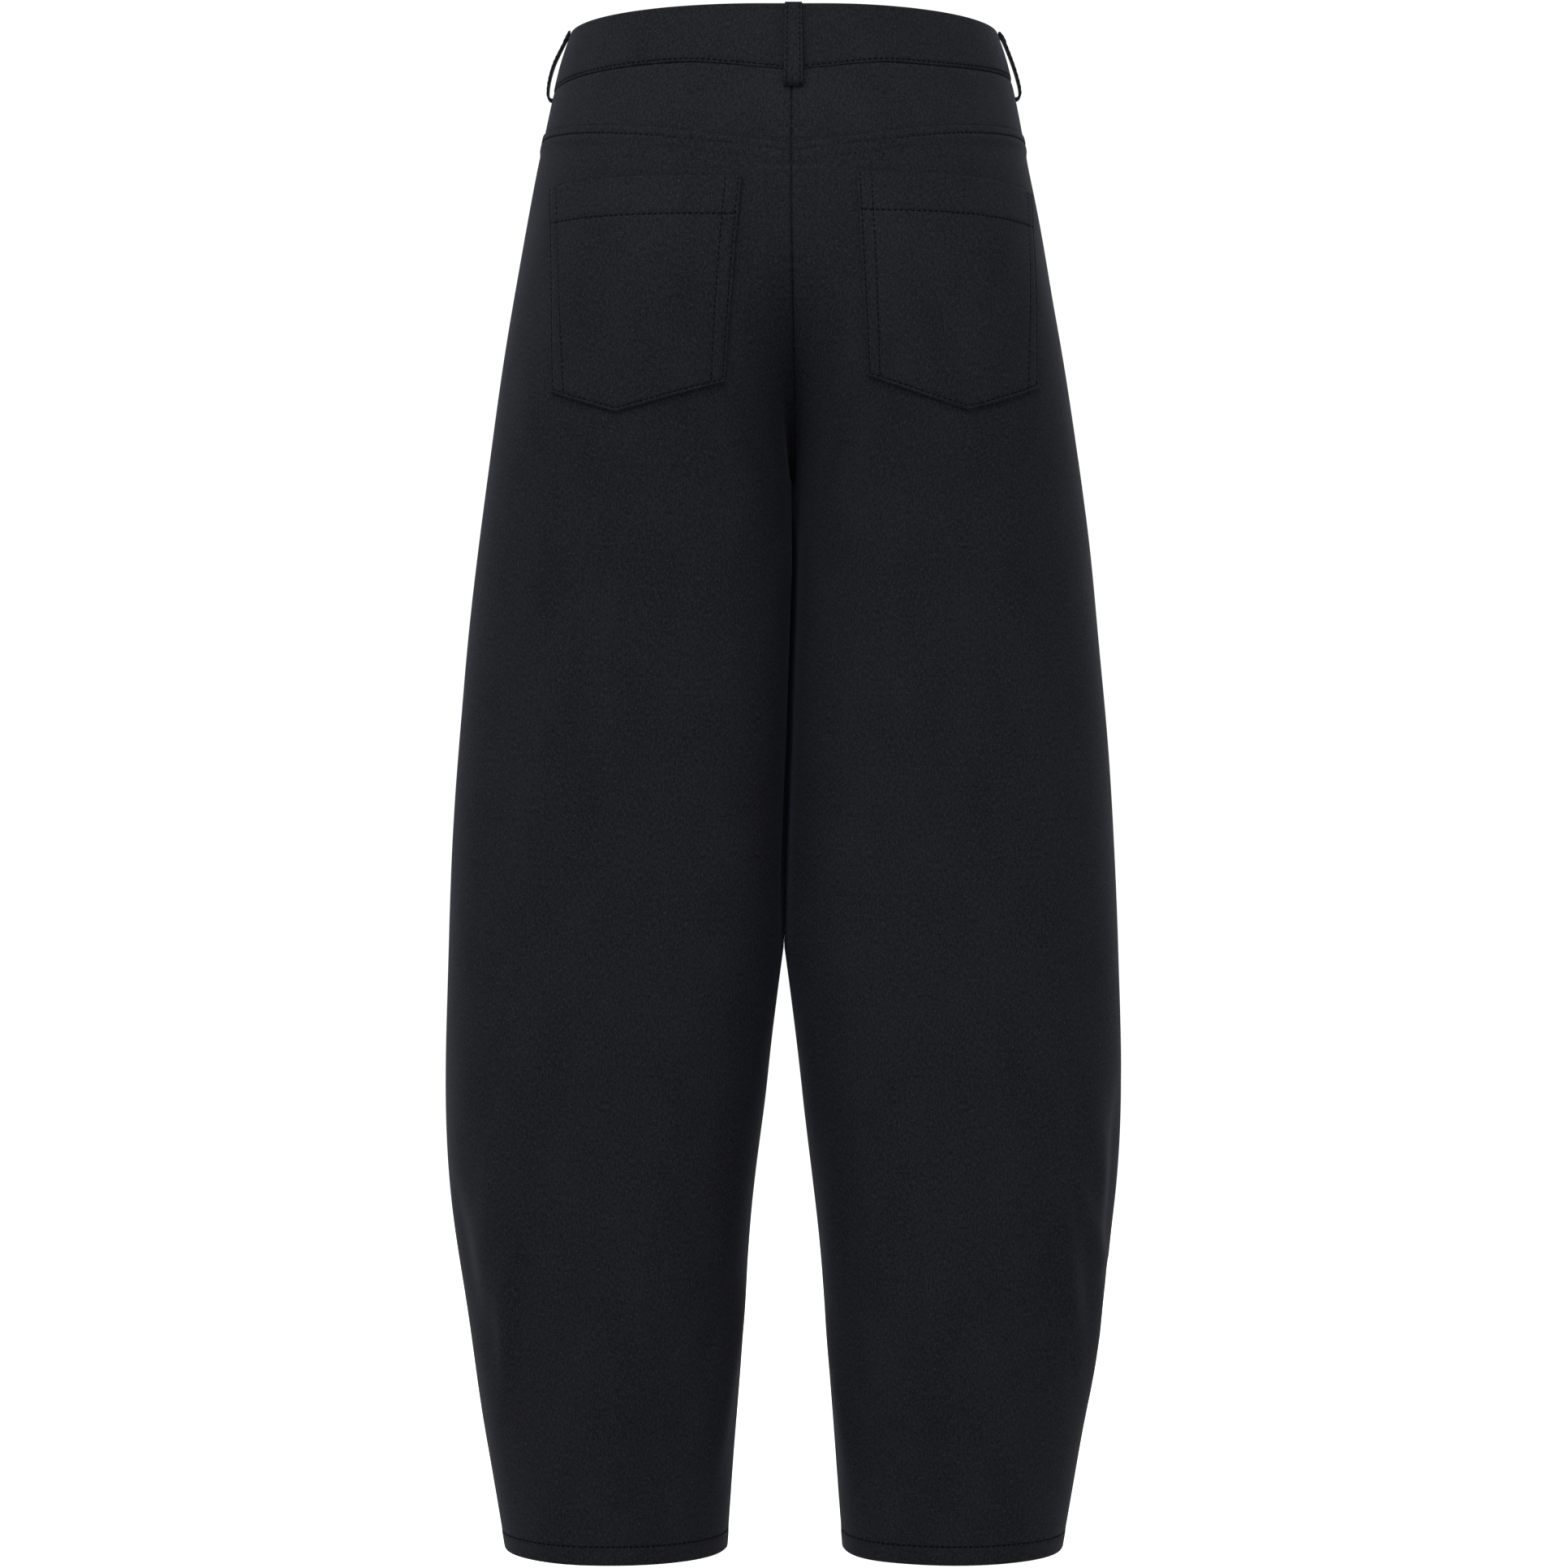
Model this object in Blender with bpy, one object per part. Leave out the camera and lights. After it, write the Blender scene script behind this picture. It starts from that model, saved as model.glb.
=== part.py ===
"""Barrel-leg trousers of thick wool twill, in the hollow form that they keep when worn.

The cloth is a thin wall over a smooth body form. The form is a stack of horizontal sections, one for each
height, that run from the centre seam (or the inside leg seam) round the outside of one leg. Every piece is
read from that form: the legs, yokes and waistband lie in it, and the pockets, loops and button lie on it.

Sizes are millimetres until a mesh is made. +Z is up, the wearer faces +Y, and the wearer's left is -X.
The origin is the centre of the waist opening, at half the height of the waistband.
"""

import math

import bmesh
import bpy
import numpy as np

MM = 0.001

# Cloth and seams
CLOTH = 1.6
BAND_CLOTH = 2.6
BAND_PROUD = 0.5
SEAM_GAP = 0.3
POCKET_GAP = 0.6

# Heights
BAND_TOP = 20.0
BAND_TOP_FRONT_DIP = 8.0
BAND_FOOT = -17.2
BAND_FOOT_BACK_DIP = 6.5
BAND_FOOT_DIP_REACH = 62.0
BAND_FOOT_DIP_POWER = 1.1
BAND_FOOT_TILT = {"left": -2.5, "right": 5.5}
BAND_FOOT_TILT_FROM = 0.4
YOKE_FOOT = -72.7
YOKE_RISE = 0.155
CROTCH = -275.0
CROTCH_EASE = 60.0
HEM = -960.0
HEM_DEPTH = 12.5

# The body form: the right half's section at each height.
# outer: side seam from the centre plane. fullest: where front and back are deepest. inner: half the gap
# between the legs, closed where it is negative. back, front: depths. middle: the side seam's y.
# square_out, square_in: exponents of the outer and inner quarters, 2 being an ellipse.
SECTION_COLUMNS = (
    "height", "outer", "fullest", "inner", "back", "front", "middle", "square_out", "square_in",
)
SECTIONS = (
    (20, 137.4, 20, -90.0, 104, 92, 0, 1.95, 2.0),
    (0, 143.8, 24, -86.0, 108, 95, 0, 2.00, 2.0),
    (-35, 152.0, 34, -81.0, 117, 99, -1, 2.10, 2.0),
    (-88, 162.2, 50, -73.0, 129, 104, -3, 2.20, 2.1),
    (-167, 175.8, 68, -61.0, 136, 108, -6, 2.30, 2.2),
    (-272, 191.4, 86, -45.0, 126, 111, -10, 2.35, 2.4),
    (-378, 203.8, 97, -29.0, 114, 110, -6, 2.35, 2.6),
    (-483, 212.3, 105, -13.0, 107, 107, -2, 2.35, 2.6),
    (-588, 217.0, 110, 2.4, 103, 102, 0, 2.35, 2.5),
    (-667, 218.0, 115, 12.4, 99, 97, 0, 2.30, 2.4),
    (-730, 214.9, 117, 20.0, 95, 92, 0, 2.30, 2.3),
    (-790, 206.9, 116, 25.2, 89, 86, 0, 2.25, 2.3),
    (-870, 194.7, 113, 31.2, 79, 75, 0, 2.20, 2.2),
    (-960, 179.4, 109, 37.8, 68, 62, 0, 2.15, 2.2),
)
CLEFT_POWER = 3.2
CLEFT_LEAST = 0.01
LEG_PARTING = 1.2

# How far the centre seam and the line between the legs stand off the middle, behind and in front.
CENTRE_COLUMNS = ("height", "behind", "before")
CENTRES = (
    (20, 5.0, 5.0),
    (-100, 4.5, 5.0),
    (-165, 5.5, 4.0),
    (-230, 7.0, 0.0),
    (-330, 9.5, -3.5),
    (-430, 6.0, -2.5),
    (-570, 0.0, 0.0),
    (-960, 0.0, 0.0),
)
CENTRE_REACH = 70.0
CENTRE_TURN = 35.0

# The largest folds. share runs from the inner seam (0) to the side seam (1) of a panel. A crest has a
# positive depth and a trough a negative one, and width is from its line to where it has faded. Each fold
# rises and dies away over FOLD_FADE of its length.
FOLD_FADE = 1 / 3
FOLD_COLUMNS = (
    "half", "panel", "from_height", "from_share", "to_height", "to_share", "depth", "width",
)
FOLDS = (
    ("left", "back", -150, 0.68, -700, 0.62, 2.2, 17),
    ("left", "back", -640, 0.64, -900, 0.86, 2.4, 18),
    ("left", "back", -700, 0.90, -850, 0.78, -2.0, 15),
    ("left", "back", -770, 0.05, -940, 0.24, 2.6, 16),
    ("left", "back", -760, 0.16, -930, 0.36, -1.6, 16),
    ("left", "front", -180, 0.60, -720, 0.58, 2.0, 18),
    ("left", "front", -640, 0.72, -880, 0.88, 2.2, 17),
    ("left", "front", -250, 0.16, -400, 0.34, 2.0, 18),
    ("right", "back", -330, 0.66, -660, 0.70, 1.8, 17),
    ("right", "back", -620, 0.72, -900, 0.93, 3.6, 17),
    ("right", "back", -640, 0.90, -800, 0.83, -2.6, 15),
    ("right", "back", -790, 0.06, -940, 0.20, 1.8, 16),
    ("right", "front", -170, 0.62, -700, 0.60, 1.8, 18),
    ("right", "front", -630, 0.74, -870, 0.90, 2.6, 17),
    ("right", "front", -260, 0.18, -410, 0.36, 1.8, 18),
)

# The corners of the patch pockets, by distance from the centre plane
CORNER_COLUMNS = ("half", "corner", "from_centre", "height")
CORNERS = (
    ("left", "inner_top", 29.6, -91.9),
    ("left", "outer_top", 146.1, -91.9),
    ("left", "outer_foot", 143.9, -223.3),
    ("left", "tip", 104.0, -236.7),
    ("left", "inner_foot", 42.0, -217.8),
    ("right", "inner_top", 41.6, -89.0),
    ("right", "outer_top", 155.8, -91.6),
    ("right", "outer_foot", 157.2, -219.3),
    ("right", "tip", 112.4, -235.5),
    ("right", "inner_foot", 47.6, -214.5),
)

# Belt loops. place runs round the waist from the centre back (0) to the centre front (1 or -1), rise is
# from the waistband's top edge to the loop's, foot is the height of the lower end, and bow is how far the
# strip stands off the waistband. The shares are of the loop's length, from its top: the bow has grown by
# LOOP_BOW_GROWN and dies away before LOOP_BOW_GONE.
LOOP_COLUMNS = ("name", "place", "rise", "foot", "bow")
LOOPS = (
    ("belt_loop_back", 0.0023, 0.0, -33.6, 5.4),
    ("belt_loop_side_left", -0.5, 1.5, -24.5, 5.4),
    ("belt_loop_side_right", 0.5, 1.5, -22.5, 5.4),
    ("belt_loop_front_left", -0.79, 1.5, -26.0, 6.6),
    ("belt_loop_front_right", 0.79, 1.5, -26.0, 6.6),
)
LOOP_WIDTH = 11.0
LOOP_CLOTH = 1.6
LOOP_SEAT = BAND_PROUD + SEAM_GAP
LOOP_BOW_GROWN = 0.58
LOOP_BOW_GONE = 0.96
LOOP_BOW_ENDING = 0.16
LOOP_SETTLES_FROM = 0.93
LOOP_SETTLING = 0.05
LOOP_POINTS = 15

# The closed waistband: its left end lies over its right end, which tucks under.
OVER_END = 5.0
UNDER_END = 24.0
TUCK = BAND_CLOTH + SEAM_GAP
TUCK_FROM = 8.0
TUCK_TO = 34.0

BUTTON_ACROSS = 17.0
BUTTON_THICK = 3.2
BUTTON_GAP = 0.5
BUTTON_RIM = 1.9
BUTTON_DISH = 0.9
BUTTON_BACK_CHAMFER = 0.8
BUTTON_EDGE_CHAMFER = 0.7
BUTTON_FROM_END = 14.0
BUTTON_HOLE = 1.9
BUTTON_HOLE_PITCH = 3.6
BUTTON_HOLE_SPARE = 2.0

# Mesh density. A power above 1 crowds the rows of a leg towards the crotch.
PANEL_COLUMNS = 18
RISE_TOP = -100.0
RISE_ROWS = 11
RISE_POWER = 1.3
LEG_ROWS = 25
LEG_POWER = 1.12
HEM_CLEAR = 8.0
HEM_STEP = 0.5
FRONT_LEAD_ROWS = 4
BACK_LEAD_ROWS = 2
YOKE_POINTS = 4
BAND_POINTS = 4
BAND_STEPS = 72
POCKET_COLUMNS_EACH_SIDE = 7
POCKET_ROWS = 10
BUTTON_SIDES = 24
HOLE_SIDES = 12

# The table that spaces points evenly along the cloth
SPACING_MARGIN = 20.0
SPACING_HEIGHTS = 401
SPACING_ANGLES = 721
SPACING_SHARES = 121
SHARE_HALVINGS = 40

PARTS = ("back", "front")
HALVES = {"left": -1.0, "right": 1.0}
FACING = {"back": -1.0, "front": 1.0}


def columns(names, rows):
    """A table as one array for each named column, its rows sorted by height, low to high."""
    ordered = sorted(rows, key=lambda row: row[0])
    return {name: np.array([row[i] for row in ordered]) for i, name in enumerate(names)}


def spline(knots, values, at):
    """The natural cubic spline through the knots, read at any points."""
    count = len(knots)
    step = np.diff(knots)
    slope = np.diff(values) / step
    system = np.eye(count)
    right = np.zeros(count)
    for i in range(1, count - 1):
        system[i, i - 1 : i + 2] = (step[i - 1], 2 * (step[i - 1] + step[i]), step[i])
        right[i] = 3 * (slope[i] - slope[i - 1])
    bend = np.linalg.solve(system, right)
    at = np.asarray(at, float)
    i = np.clip(np.searchsorted(knots, at) - 1, 0, count - 2)
    along = at - knots[i]
    first = slope[i] - step[i] * (2 * bend[i] + bend[i + 1]) / 3
    third = (bend[i + 1] - bend[i]) / (3 * step[i])
    return values[i] + along * (first + along * (bend[i] + along * third))


SECTION_TABLE = columns(SECTION_COLUMNS, SECTIONS)
CENTRE_TABLE = columns(CENTRE_COLUMNS, CENTRES)


def section(name, z):
    return spline(SECTION_TABLE["height"], SECTION_TABLE[name], z)


def smoothstep(x):
    x = np.clip(x, 0, 1)
    return x * x * (3 - 2 * x)


def cleft(z):
    """How much of the inner quarter the centre plane keeps: least at the waist, 1 at the crotch and below."""
    rise = np.clip((z - CROTCH) / (BAND_TOP - CROTCH), 0, 1 - CLEFT_LEAST)
    return np.maximum(np.cos(math.pi / 2 * rise) ** CLEFT_POWER, CLEFT_LEAST)


def quarters(part, z):
    """Centre, half widths, depth and exponents of the section at z."""
    centre_x = section("fullest", z)
    centre_y = section("middle", z)
    gap = section("inner", z)
    gap = (gap + np.sqrt(gap**2 + LEG_PARTING**2)) / 2
    gap = np.where(z > CROTCH, 0, gap * smoothstep((CROTCH - z) / CROTCH_EASE))
    inward = np.where(z > CROTCH, centre_x / cleft(z), centre_x - gap)
    outward = section("outer", z) - centre_x
    depth = section(part, z) - FACING[part] * centre_y
    return centre_x, centre_y, inward, outward, depth, section("square_in", z), section("square_out", z)


def first_angle(part, z):
    """The angle at which the section leaves the centre plane, or 0 at the inside leg seam."""
    centre_x, _, inward, _, depth, square_in, _ = quarters(part, z)
    share = np.clip(1 - (centre_x / inward) ** square_in, 0, 1)
    reach = np.where(z > CROTCH, depth * share ** (1 / square_in), 0)
    return np.arctan2(reach, centre_x)


def outline(part, angle, z):
    """A point of the right half's form: the angle is 0 towards the other leg and pi at the side seam."""
    centre_x, centre_y, inward, outward, depth, square_in, square_out = quarters(part, z)
    toward = np.cos(angle)
    across = np.sin(angle)
    width = np.where(toward > 0, inward, outward)
    power = np.where(toward > 0, square_in, square_out)
    radius = (np.abs(toward / width) ** power + np.abs(across / depth) ** power) ** (-1 / power)
    return np.stack(
        (centre_x - radius * toward, centre_y + FACING[part] * radius * across, z + 0 * angle), axis=-1
    )


def even_spacing(part):
    """Where equal steps along the cloth fall, as shares of the angle, for each height of a fine grid."""
    heights = np.linspace(HEM - SPACING_MARGIN, BAND_TOP + SPACING_MARGIN, SPACING_HEIGHTS)
    shares = np.linspace(0, 1, SPACING_ANGLES)
    z, share = np.meshgrid(heights, shares, indexing="ij")
    first = first_angle(part, z)
    points = outline(part, first + share * (math.pi - first), z)
    lengths = np.linalg.norm(np.diff(points, axis=1), axis=2)
    run = np.concatenate((np.zeros((len(heights), 1)), np.cumsum(lengths, axis=1)), axis=1)
    even = np.linspace(0, 1, SPACING_SHARES)
    found = np.array([np.interp(even, r / r[-1], shares) for r in run])
    return heights, even, found, run[:, -1]


SPACING = {part: even_spacing(part) for part in PARTS}


def bilinear(xs, ys, table, x, y):
    i = np.clip(np.searchsorted(xs, x) - 1, 0, len(xs) - 2)
    j = np.clip(np.searchsorted(ys, y) - 1, 0, len(ys) - 2)
    p = (x - xs[i]) / (xs[i + 1] - xs[i])
    q = (y - ys[j]) / (ys[j + 1] - ys[j])
    low = table[i, j] * (1 - q) + table[i, j + 1] * q
    high = table[i + 1, j] * (1 - q) + table[i + 1, j + 1] * q
    return low * (1 - p) + high * p


def cloth_length(part, z):
    """The section's length from the inner seam to the side seam."""
    heights, _, _, lengths = SPACING[part]
    return np.interp(z, heights, lengths)


def folds(half, part, share, z):
    """How far the folds lift a point of the cloth: soft ridges along lines, faded at both ends."""
    lift = np.zeros(np.broadcast(share, z).shape)
    for row in FOLDS:
        fold = dict(zip(FOLD_COLUMNS, row))
        if (fold["half"], fold["panel"]) != (half, part):
            continue
        along = (z - fold["from_height"]) / (fold["to_height"] - fold["from_height"])
        line = fold["from_share"] + along * (fold["to_share"] - fold["from_share"])
        off = (share - line) * cloth_length(part, z) / fold["width"]
        fade = smoothstep(along / FOLD_FADE) * smoothstep((1 - along) / FOLD_FADE)
        lift = lift + fold["depth"] * fade * np.exp(-(off**2))
    return lift


def centre_shift(points):
    """Moves the cloth near the centre plane sideways, as far as the seam stands off the middle there."""
    x, y, z = points[..., 0], points[..., 1], points[..., 2]
    behind = np.interp(z, CENTRE_TABLE["height"], CENTRE_TABLE["behind"])
    before = np.interp(z, CENTRE_TABLE["height"], CENTRE_TABLE["before"])
    front_share = (1 + np.tanh(y / CENTRE_TURN)) / 2
    shift = (behind * (1 - front_share) + before * front_share) * np.exp(-((x / CENTRE_REACH) ** 2))
    return points + np.stack((shift, 0 * shift, 0 * shift), axis=-1)


def cloth(half, part, share, z, out=0.0):
    """A point of the cloth's outer face, moved out by out along the form's normal."""
    share, z = np.broadcast_arrays(np.asarray(share, float), np.asarray(z, float))
    heights, even, found, _ = SPACING[part]
    first = first_angle(part, z)
    angle = first + bilinear(heights, even, found, z, share) * (math.pi - first)
    small_turn, small_rise = 1e-4, 0.05
    turn = outline(part, angle + small_turn, z) - outline(part, angle - small_turn, z)
    rise = outline(part, angle, z + small_rise) - outline(part, angle, z - small_rise)
    normal = np.cross(rise, turn) * FACING[part]
    normal /= np.linalg.norm(normal, axis=-1, keepdims=True)
    moved = folds(half, part, share, z) + out
    points = outline(part, angle, z) + normal * moved[..., None]
    points[..., 0] = (points[..., 0] + SEAM_GAP / 2) * HALVES[half]
    return centre_shift(points)


def waist(place, z, out=0.0):
    """A point round the waist. place is 0 at the centre back and 1 or -1 at the centre front, and a place
    past 1 or -1 has crossed the centre front to the other side."""
    place, z, out = np.broadcast_arrays(
        np.asarray(place, float), np.asarray(z, float), np.asarray(out, float)
    )
    wrapped = (place + 1) % 2 - 1
    points = np.zeros(place.shape + (3,))
    for half, side in HALVES.items():
        for part in PARTS:
            distance = wrapped * side
            inside = (distance >= 0) if side > 0 else (distance > 0)
            front = np.abs(wrapped) > 0.5
            chosen = inside & (front if part == "front" else ~front)
            share = 2 * np.where(front, 1 - np.abs(wrapped), np.abs(wrapped))
            if chosen.any():
                points[chosen] = cloth(half, part, share[chosen], z[chosen], out[chosen])
    return points


def waist_length():
    return 2 * (cloth_length("back", 0.0) + cloth_length("front", 0.0))


def band_top(place):
    """The waistband's top edge, which dips towards the centre front."""
    past_side = np.clip(2 * np.abs((np.asarray(place) + 1) % 2 - 1) - 1, 0, 1)
    return BAND_TOP - BAND_TOP_FRONT_DIP * smoothstep(past_side)


def seam_share_x(part, share, z):
    """How far from the centre plane a share of the cloth lies, on the plain form."""
    heights, even, found, _ = SPACING[part]
    first = first_angle(part, z + 0 * share)
    angle = first + bilinear(heights, even, found, z + 0 * share, share) * (math.pi - first)
    return outline(part, angle, z + 0 * share)[..., 0]


def band_foot(half, part, share):
    """The waistband's lower edge: tilted at the sides, a shallow V behind, and a dip to the centre front."""
    toward_side = (share - BAND_FOOT_TILT_FROM) / (1 - BAND_FOOT_TILT_FROM)
    level = BAND_FOOT + BAND_FOOT_TILT[half] * smoothstep(toward_side)
    if part == "front":
        return level - BAND_TOP_FRONT_DIP * smoothstep(1 - share)
    toward_centre = np.clip(1 - seam_share_x(part, share, BAND_FOOT) / BAND_FOOT_DIP_REACH, 0, 1)
    return level - BAND_FOOT_BACK_DIP * toward_centre**BAND_FOOT_DIP_POWER


def waist_foot(place):
    """The waistband's lower edge, by place round the waist."""
    wrapped = (np.asarray(place, float) + 1) % 2 - 1
    size = np.abs(wrapped)
    foot = {}
    for half in HALVES:
        front = band_foot(half, "front", np.clip(2 * (1 - size), 0, 1))
        back = band_foot(half, "back", np.clip(2 * size, 0, 1))
        foot[half] = np.where(size > 0.5, front, back)
    return np.where(wrapped < 0, foot["left"], foot["right"])


def yoke_foot(share):
    """The yoke seam: straight on the cloth, and lowest at the centre back."""
    return YOKE_FOOT + YOKE_RISE * seam_share_x("back", share, (YOKE_FOOT + BAND_FOOT) / 2)


def material(name, colour, roughness):
    made = bpy.data.materials.new(name)
    made.use_nodes = True
    shader = made.node_tree.nodes["Principled BSDF"]
    shader.inputs["Base Color"].default_value = (*colour, 1.0)
    shader.inputs["Roughness"].default_value = roughness
    return made


def finish_mesh(name, points, faces, finish):
    """Makes one object from points in millimetres, with its faces turned outwards."""
    mesh = bpy.data.meshes.new(name)
    mesh.from_pydata([tuple(p) for p in np.asarray(points) * MM], [], faces)
    shape = bmesh.new()
    shape.from_mesh(mesh)
    bmesh.ops.recalc_face_normals(shape, faces=shape.faces)
    shape.to_mesh(mesh)
    shape.free()
    mesh.shade_smooth()
    mesh.set_sharp_from_angle(angle=math.radians(40))
    mesh.materials.append(finish)
    made = bpy.data.objects.new(name, mesh)
    bpy.context.scene.collection.objects.link(made)
    return made


def wall(name, outer, inner, finish):
    """A closed sheet of cloth between two grids of points, its four edges bridged."""
    rows, across = outer.shape[:2]
    points = np.concatenate((outer.reshape(-1, 3), inner.reshape(-1, 3)))
    offset = rows * across
    faces = []
    for i in range(rows - 1):
        for j in range(across - 1):
            a, b = i * across + j, i * across + j + 1
            faces.append((a, b, b + across, a + across))
            faces.append((a + offset, a + across + offset, b + across + offset, b + offset))
    edge = [(0, j) for j in range(across - 1)] + [(i, across - 1) for i in range(rows - 1)]
    edge += [(rows - 1, j) for j in range(across - 1, 0, -1)] + [(i, 0) for i in range(rows - 1, 0, -1)]
    rim = [i * across + j for i, j in edge]
    for a, b in zip(rim, rim[1:] + rim[:1]):
        faces.append((b, a, a + offset, b + offset))
    return finish_mesh(name, points, faces, finish)


def seam_trimmed(part, z, count):
    """Shares from seam to seam at each height, half a seam gap short of both."""
    margin = SEAM_GAP / 2 / cloth_length(part, z)
    return margin[:, None] + np.linspace(0, 1, count + 1)[None, :] * (1 - 2 * margin[:, None])


def panel_rows():
    """Heights of a leg panel's rows: closer together towards the crotch, and one at the hem's fold."""
    above = CROTCH + (RISE_TOP - CROTCH) * np.linspace(1, 0, RISE_ROWS + 1) ** RISE_POWER
    below = CROTCH + (HEM - CROTCH) * np.linspace(0, 1, LEG_ROWS + 1)[1:-1] ** LEG_POWER
    hem_fold = HEM + HEM_DEPTH
    below = below[below > hem_fold + HEM_CLEAR]
    return np.concatenate((above, below, [hem_fold + HEM_STEP, hem_fold - HEM_STEP, HEM]))


def leg_panel(half, part, finish):
    """One front or back of a leg, from the waistband or yoke down to the hem, which is turned up inside."""
    rows = panel_rows()
    even = np.linspace(0, 1, PANEL_COLUMNS + 1)
    top = (band_foot(half, "front", even) if part == "front" else yoke_foot(even)) - SEAM_GAP / 2
    lead = FRONT_LEAD_ROWS if part == "front" else BACK_LEAD_ROWS
    steps = np.arange(lead)[:, None] / lead
    upper = top[None, :] + steps * (rows[0] - top[None, :])
    z = np.concatenate((upper, np.repeat(rows[:, None], PANEL_COLUMNS + 1, axis=1)))
    share = seam_trimmed(part, z[:, 0], PANEL_COLUMNS)
    inward = np.where(z < HEM + HEM_DEPTH, 2 * CLOTH, CLOTH)
    outer = cloth(half, part, share, z)
    inner = cloth(half, part, share, z, -inward)
    return wall(f"{part}_leg_{half}", outer, inner, finish)


def back_yoke(half, finish):
    """The shaped strip between the waistband and the back leg."""
    even = np.linspace(0, 1, PANEL_COLUMNS + 1)
    top = band_foot(half, "back", even) - SEAM_GAP / 2
    foot = yoke_foot(even) + SEAM_GAP / 2
    z = top[None, :] + np.linspace(0, 1, YOKE_POINTS)[:, None] * (foot - top)[None, :]
    share = seam_trimmed("back", z[:, 0], PANEL_COLUMNS)
    outer = cloth(half, "back", share, z)
    inner = cloth(half, "back", share, z, -CLOTH)
    return wall(f"back_yoke_{half}", outer, inner, finish)


def waistband(finish):
    """One contoured strip round the waist. Its right end tucks under its left end at the centre front."""
    length = waist_length() / 2
    over, under = 1 + OVER_END / length, 1 + UNDER_END / length
    place = np.linspace(-over, under, BAND_STEPS + 1)
    from_front = (1 - place) * length
    tucked = smoothstep((TUCK_TO - from_front) / (TUCK_TO - TUCK_FROM))
    proud = BAND_PROUD - TUCK * tucked
    top = band_top(place)
    foot = waist_foot(place) + SEAM_GAP / 2
    z = top[None, :] + np.linspace(0, 1, BAND_POINTS)[:, None] * (foot - top)[None, :]
    outer = waist(place[None, :], z, proud[None, :])
    inner = waist(place[None, :], z, proud[None, :] - BAND_CLOTH)
    return wall("waistband", outer, inner, finish)


def share_at(part, x, z):
    """The share of the cloth that lies x from the centre plane at height z, on the plain form. It is found
    by halving the range that holds it."""
    low, high = np.zeros(np.shape(x)), np.ones(np.shape(x))
    for _ in range(SHARE_HALVINGS):
        middle = (low + high) / 2
        short = seam_share_x(part, middle, z) < x
        low = np.where(short, middle, low)
        high = np.where(short, high, middle)
    return (low + high) / 2


def between(first, last, along):
    """The value that lies along the way from first to last."""
    return first + along * (last - first)


def back_pocket(half, finish):
    """A patch pocket with a pointed foot, made from the back leg's own points, moved out. Its sides are
    straight as seen from behind."""
    x, height = {}, {}
    for row in CORNERS:
        corner = dict(zip(CORNER_COLUMNS, row))
        if corner["half"] == half:
            x[corner["corner"]] = corner["from_centre"]
            height[corner["corner"]] = corner["height"]
    drop = np.linspace(0, 1, POCKET_ROWS + 1)[:, None]
    edge = {}
    for name in ("inner", "outer"):
        edge_x = between(x[f"{name}_top"], x[f"{name}_foot"], drop)
        edge[name] = share_at("back", edge_x, between(height[f"{name}_top"], height[f"{name}_foot"], drop))
    tip_share = share_at("back", np.array(x["tip"]), height["tip"])
    tip = float((tip_share - edge["inner"][-1, 0]) / (edge["outer"][-1, 0] - edge["inner"][-1, 0]))
    before_tip = np.linspace(0, tip, POCKET_COLUMNS_EACH_SIDE + 1)
    past_tip = np.linspace(tip, 1, POCKET_COLUMNS_EACH_SIDE + 1)[1:]
    side = np.concatenate((before_tip, past_tip))
    top_z = between(height["inner_top"], height["outer_top"], side)
    foot_z = np.interp(side, (0, tip, 1), (height["inner_foot"], height["tip"], height["outer_foot"]))
    shares = between(edge["inner"], edge["outer"], side)
    z = between(top_z, foot_z, drop)
    inner = cloth(half, "back", shares, z, POCKET_GAP)
    outer = cloth(half, "back", shares, z, POCKET_GAP + CLOTH)
    return wall(f"back_pocket_{half}", outer, inner, finish)


def belt_loop(row, finish):
    """A strip sewn down at its top and foot, bowed out between them so that a belt passes behind it."""
    loop = dict(zip(LOOP_COLUMNS, row))
    top = float(band_top(loop["place"])) + loop["rise"]
    run = np.linspace(0, 1, LOOP_POINTS)
    z = (top + run * (loop["foot"] - top))[:, None]
    seat = LOOP_SEAT - BAND_PROUD * smoothstep((run - LOOP_SETTLES_FROM) / LOOP_SETTLING)
    bow = smoothstep(run / LOOP_BOW_GROWN) * smoothstep((LOOP_BOW_GONE - run) / LOOP_BOW_ENDING)
    out = (seat + loop["bow"] * bow)[:, None]
    half_width = LOOP_WIDTH / waist_length()
    place = (loop["place"] + np.array([-half_width, 0, half_width]))[None, :]
    return wall(loop["name"], waist(place, z, out + LOOP_CLOTH), waist(place, z, out), finish)


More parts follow.
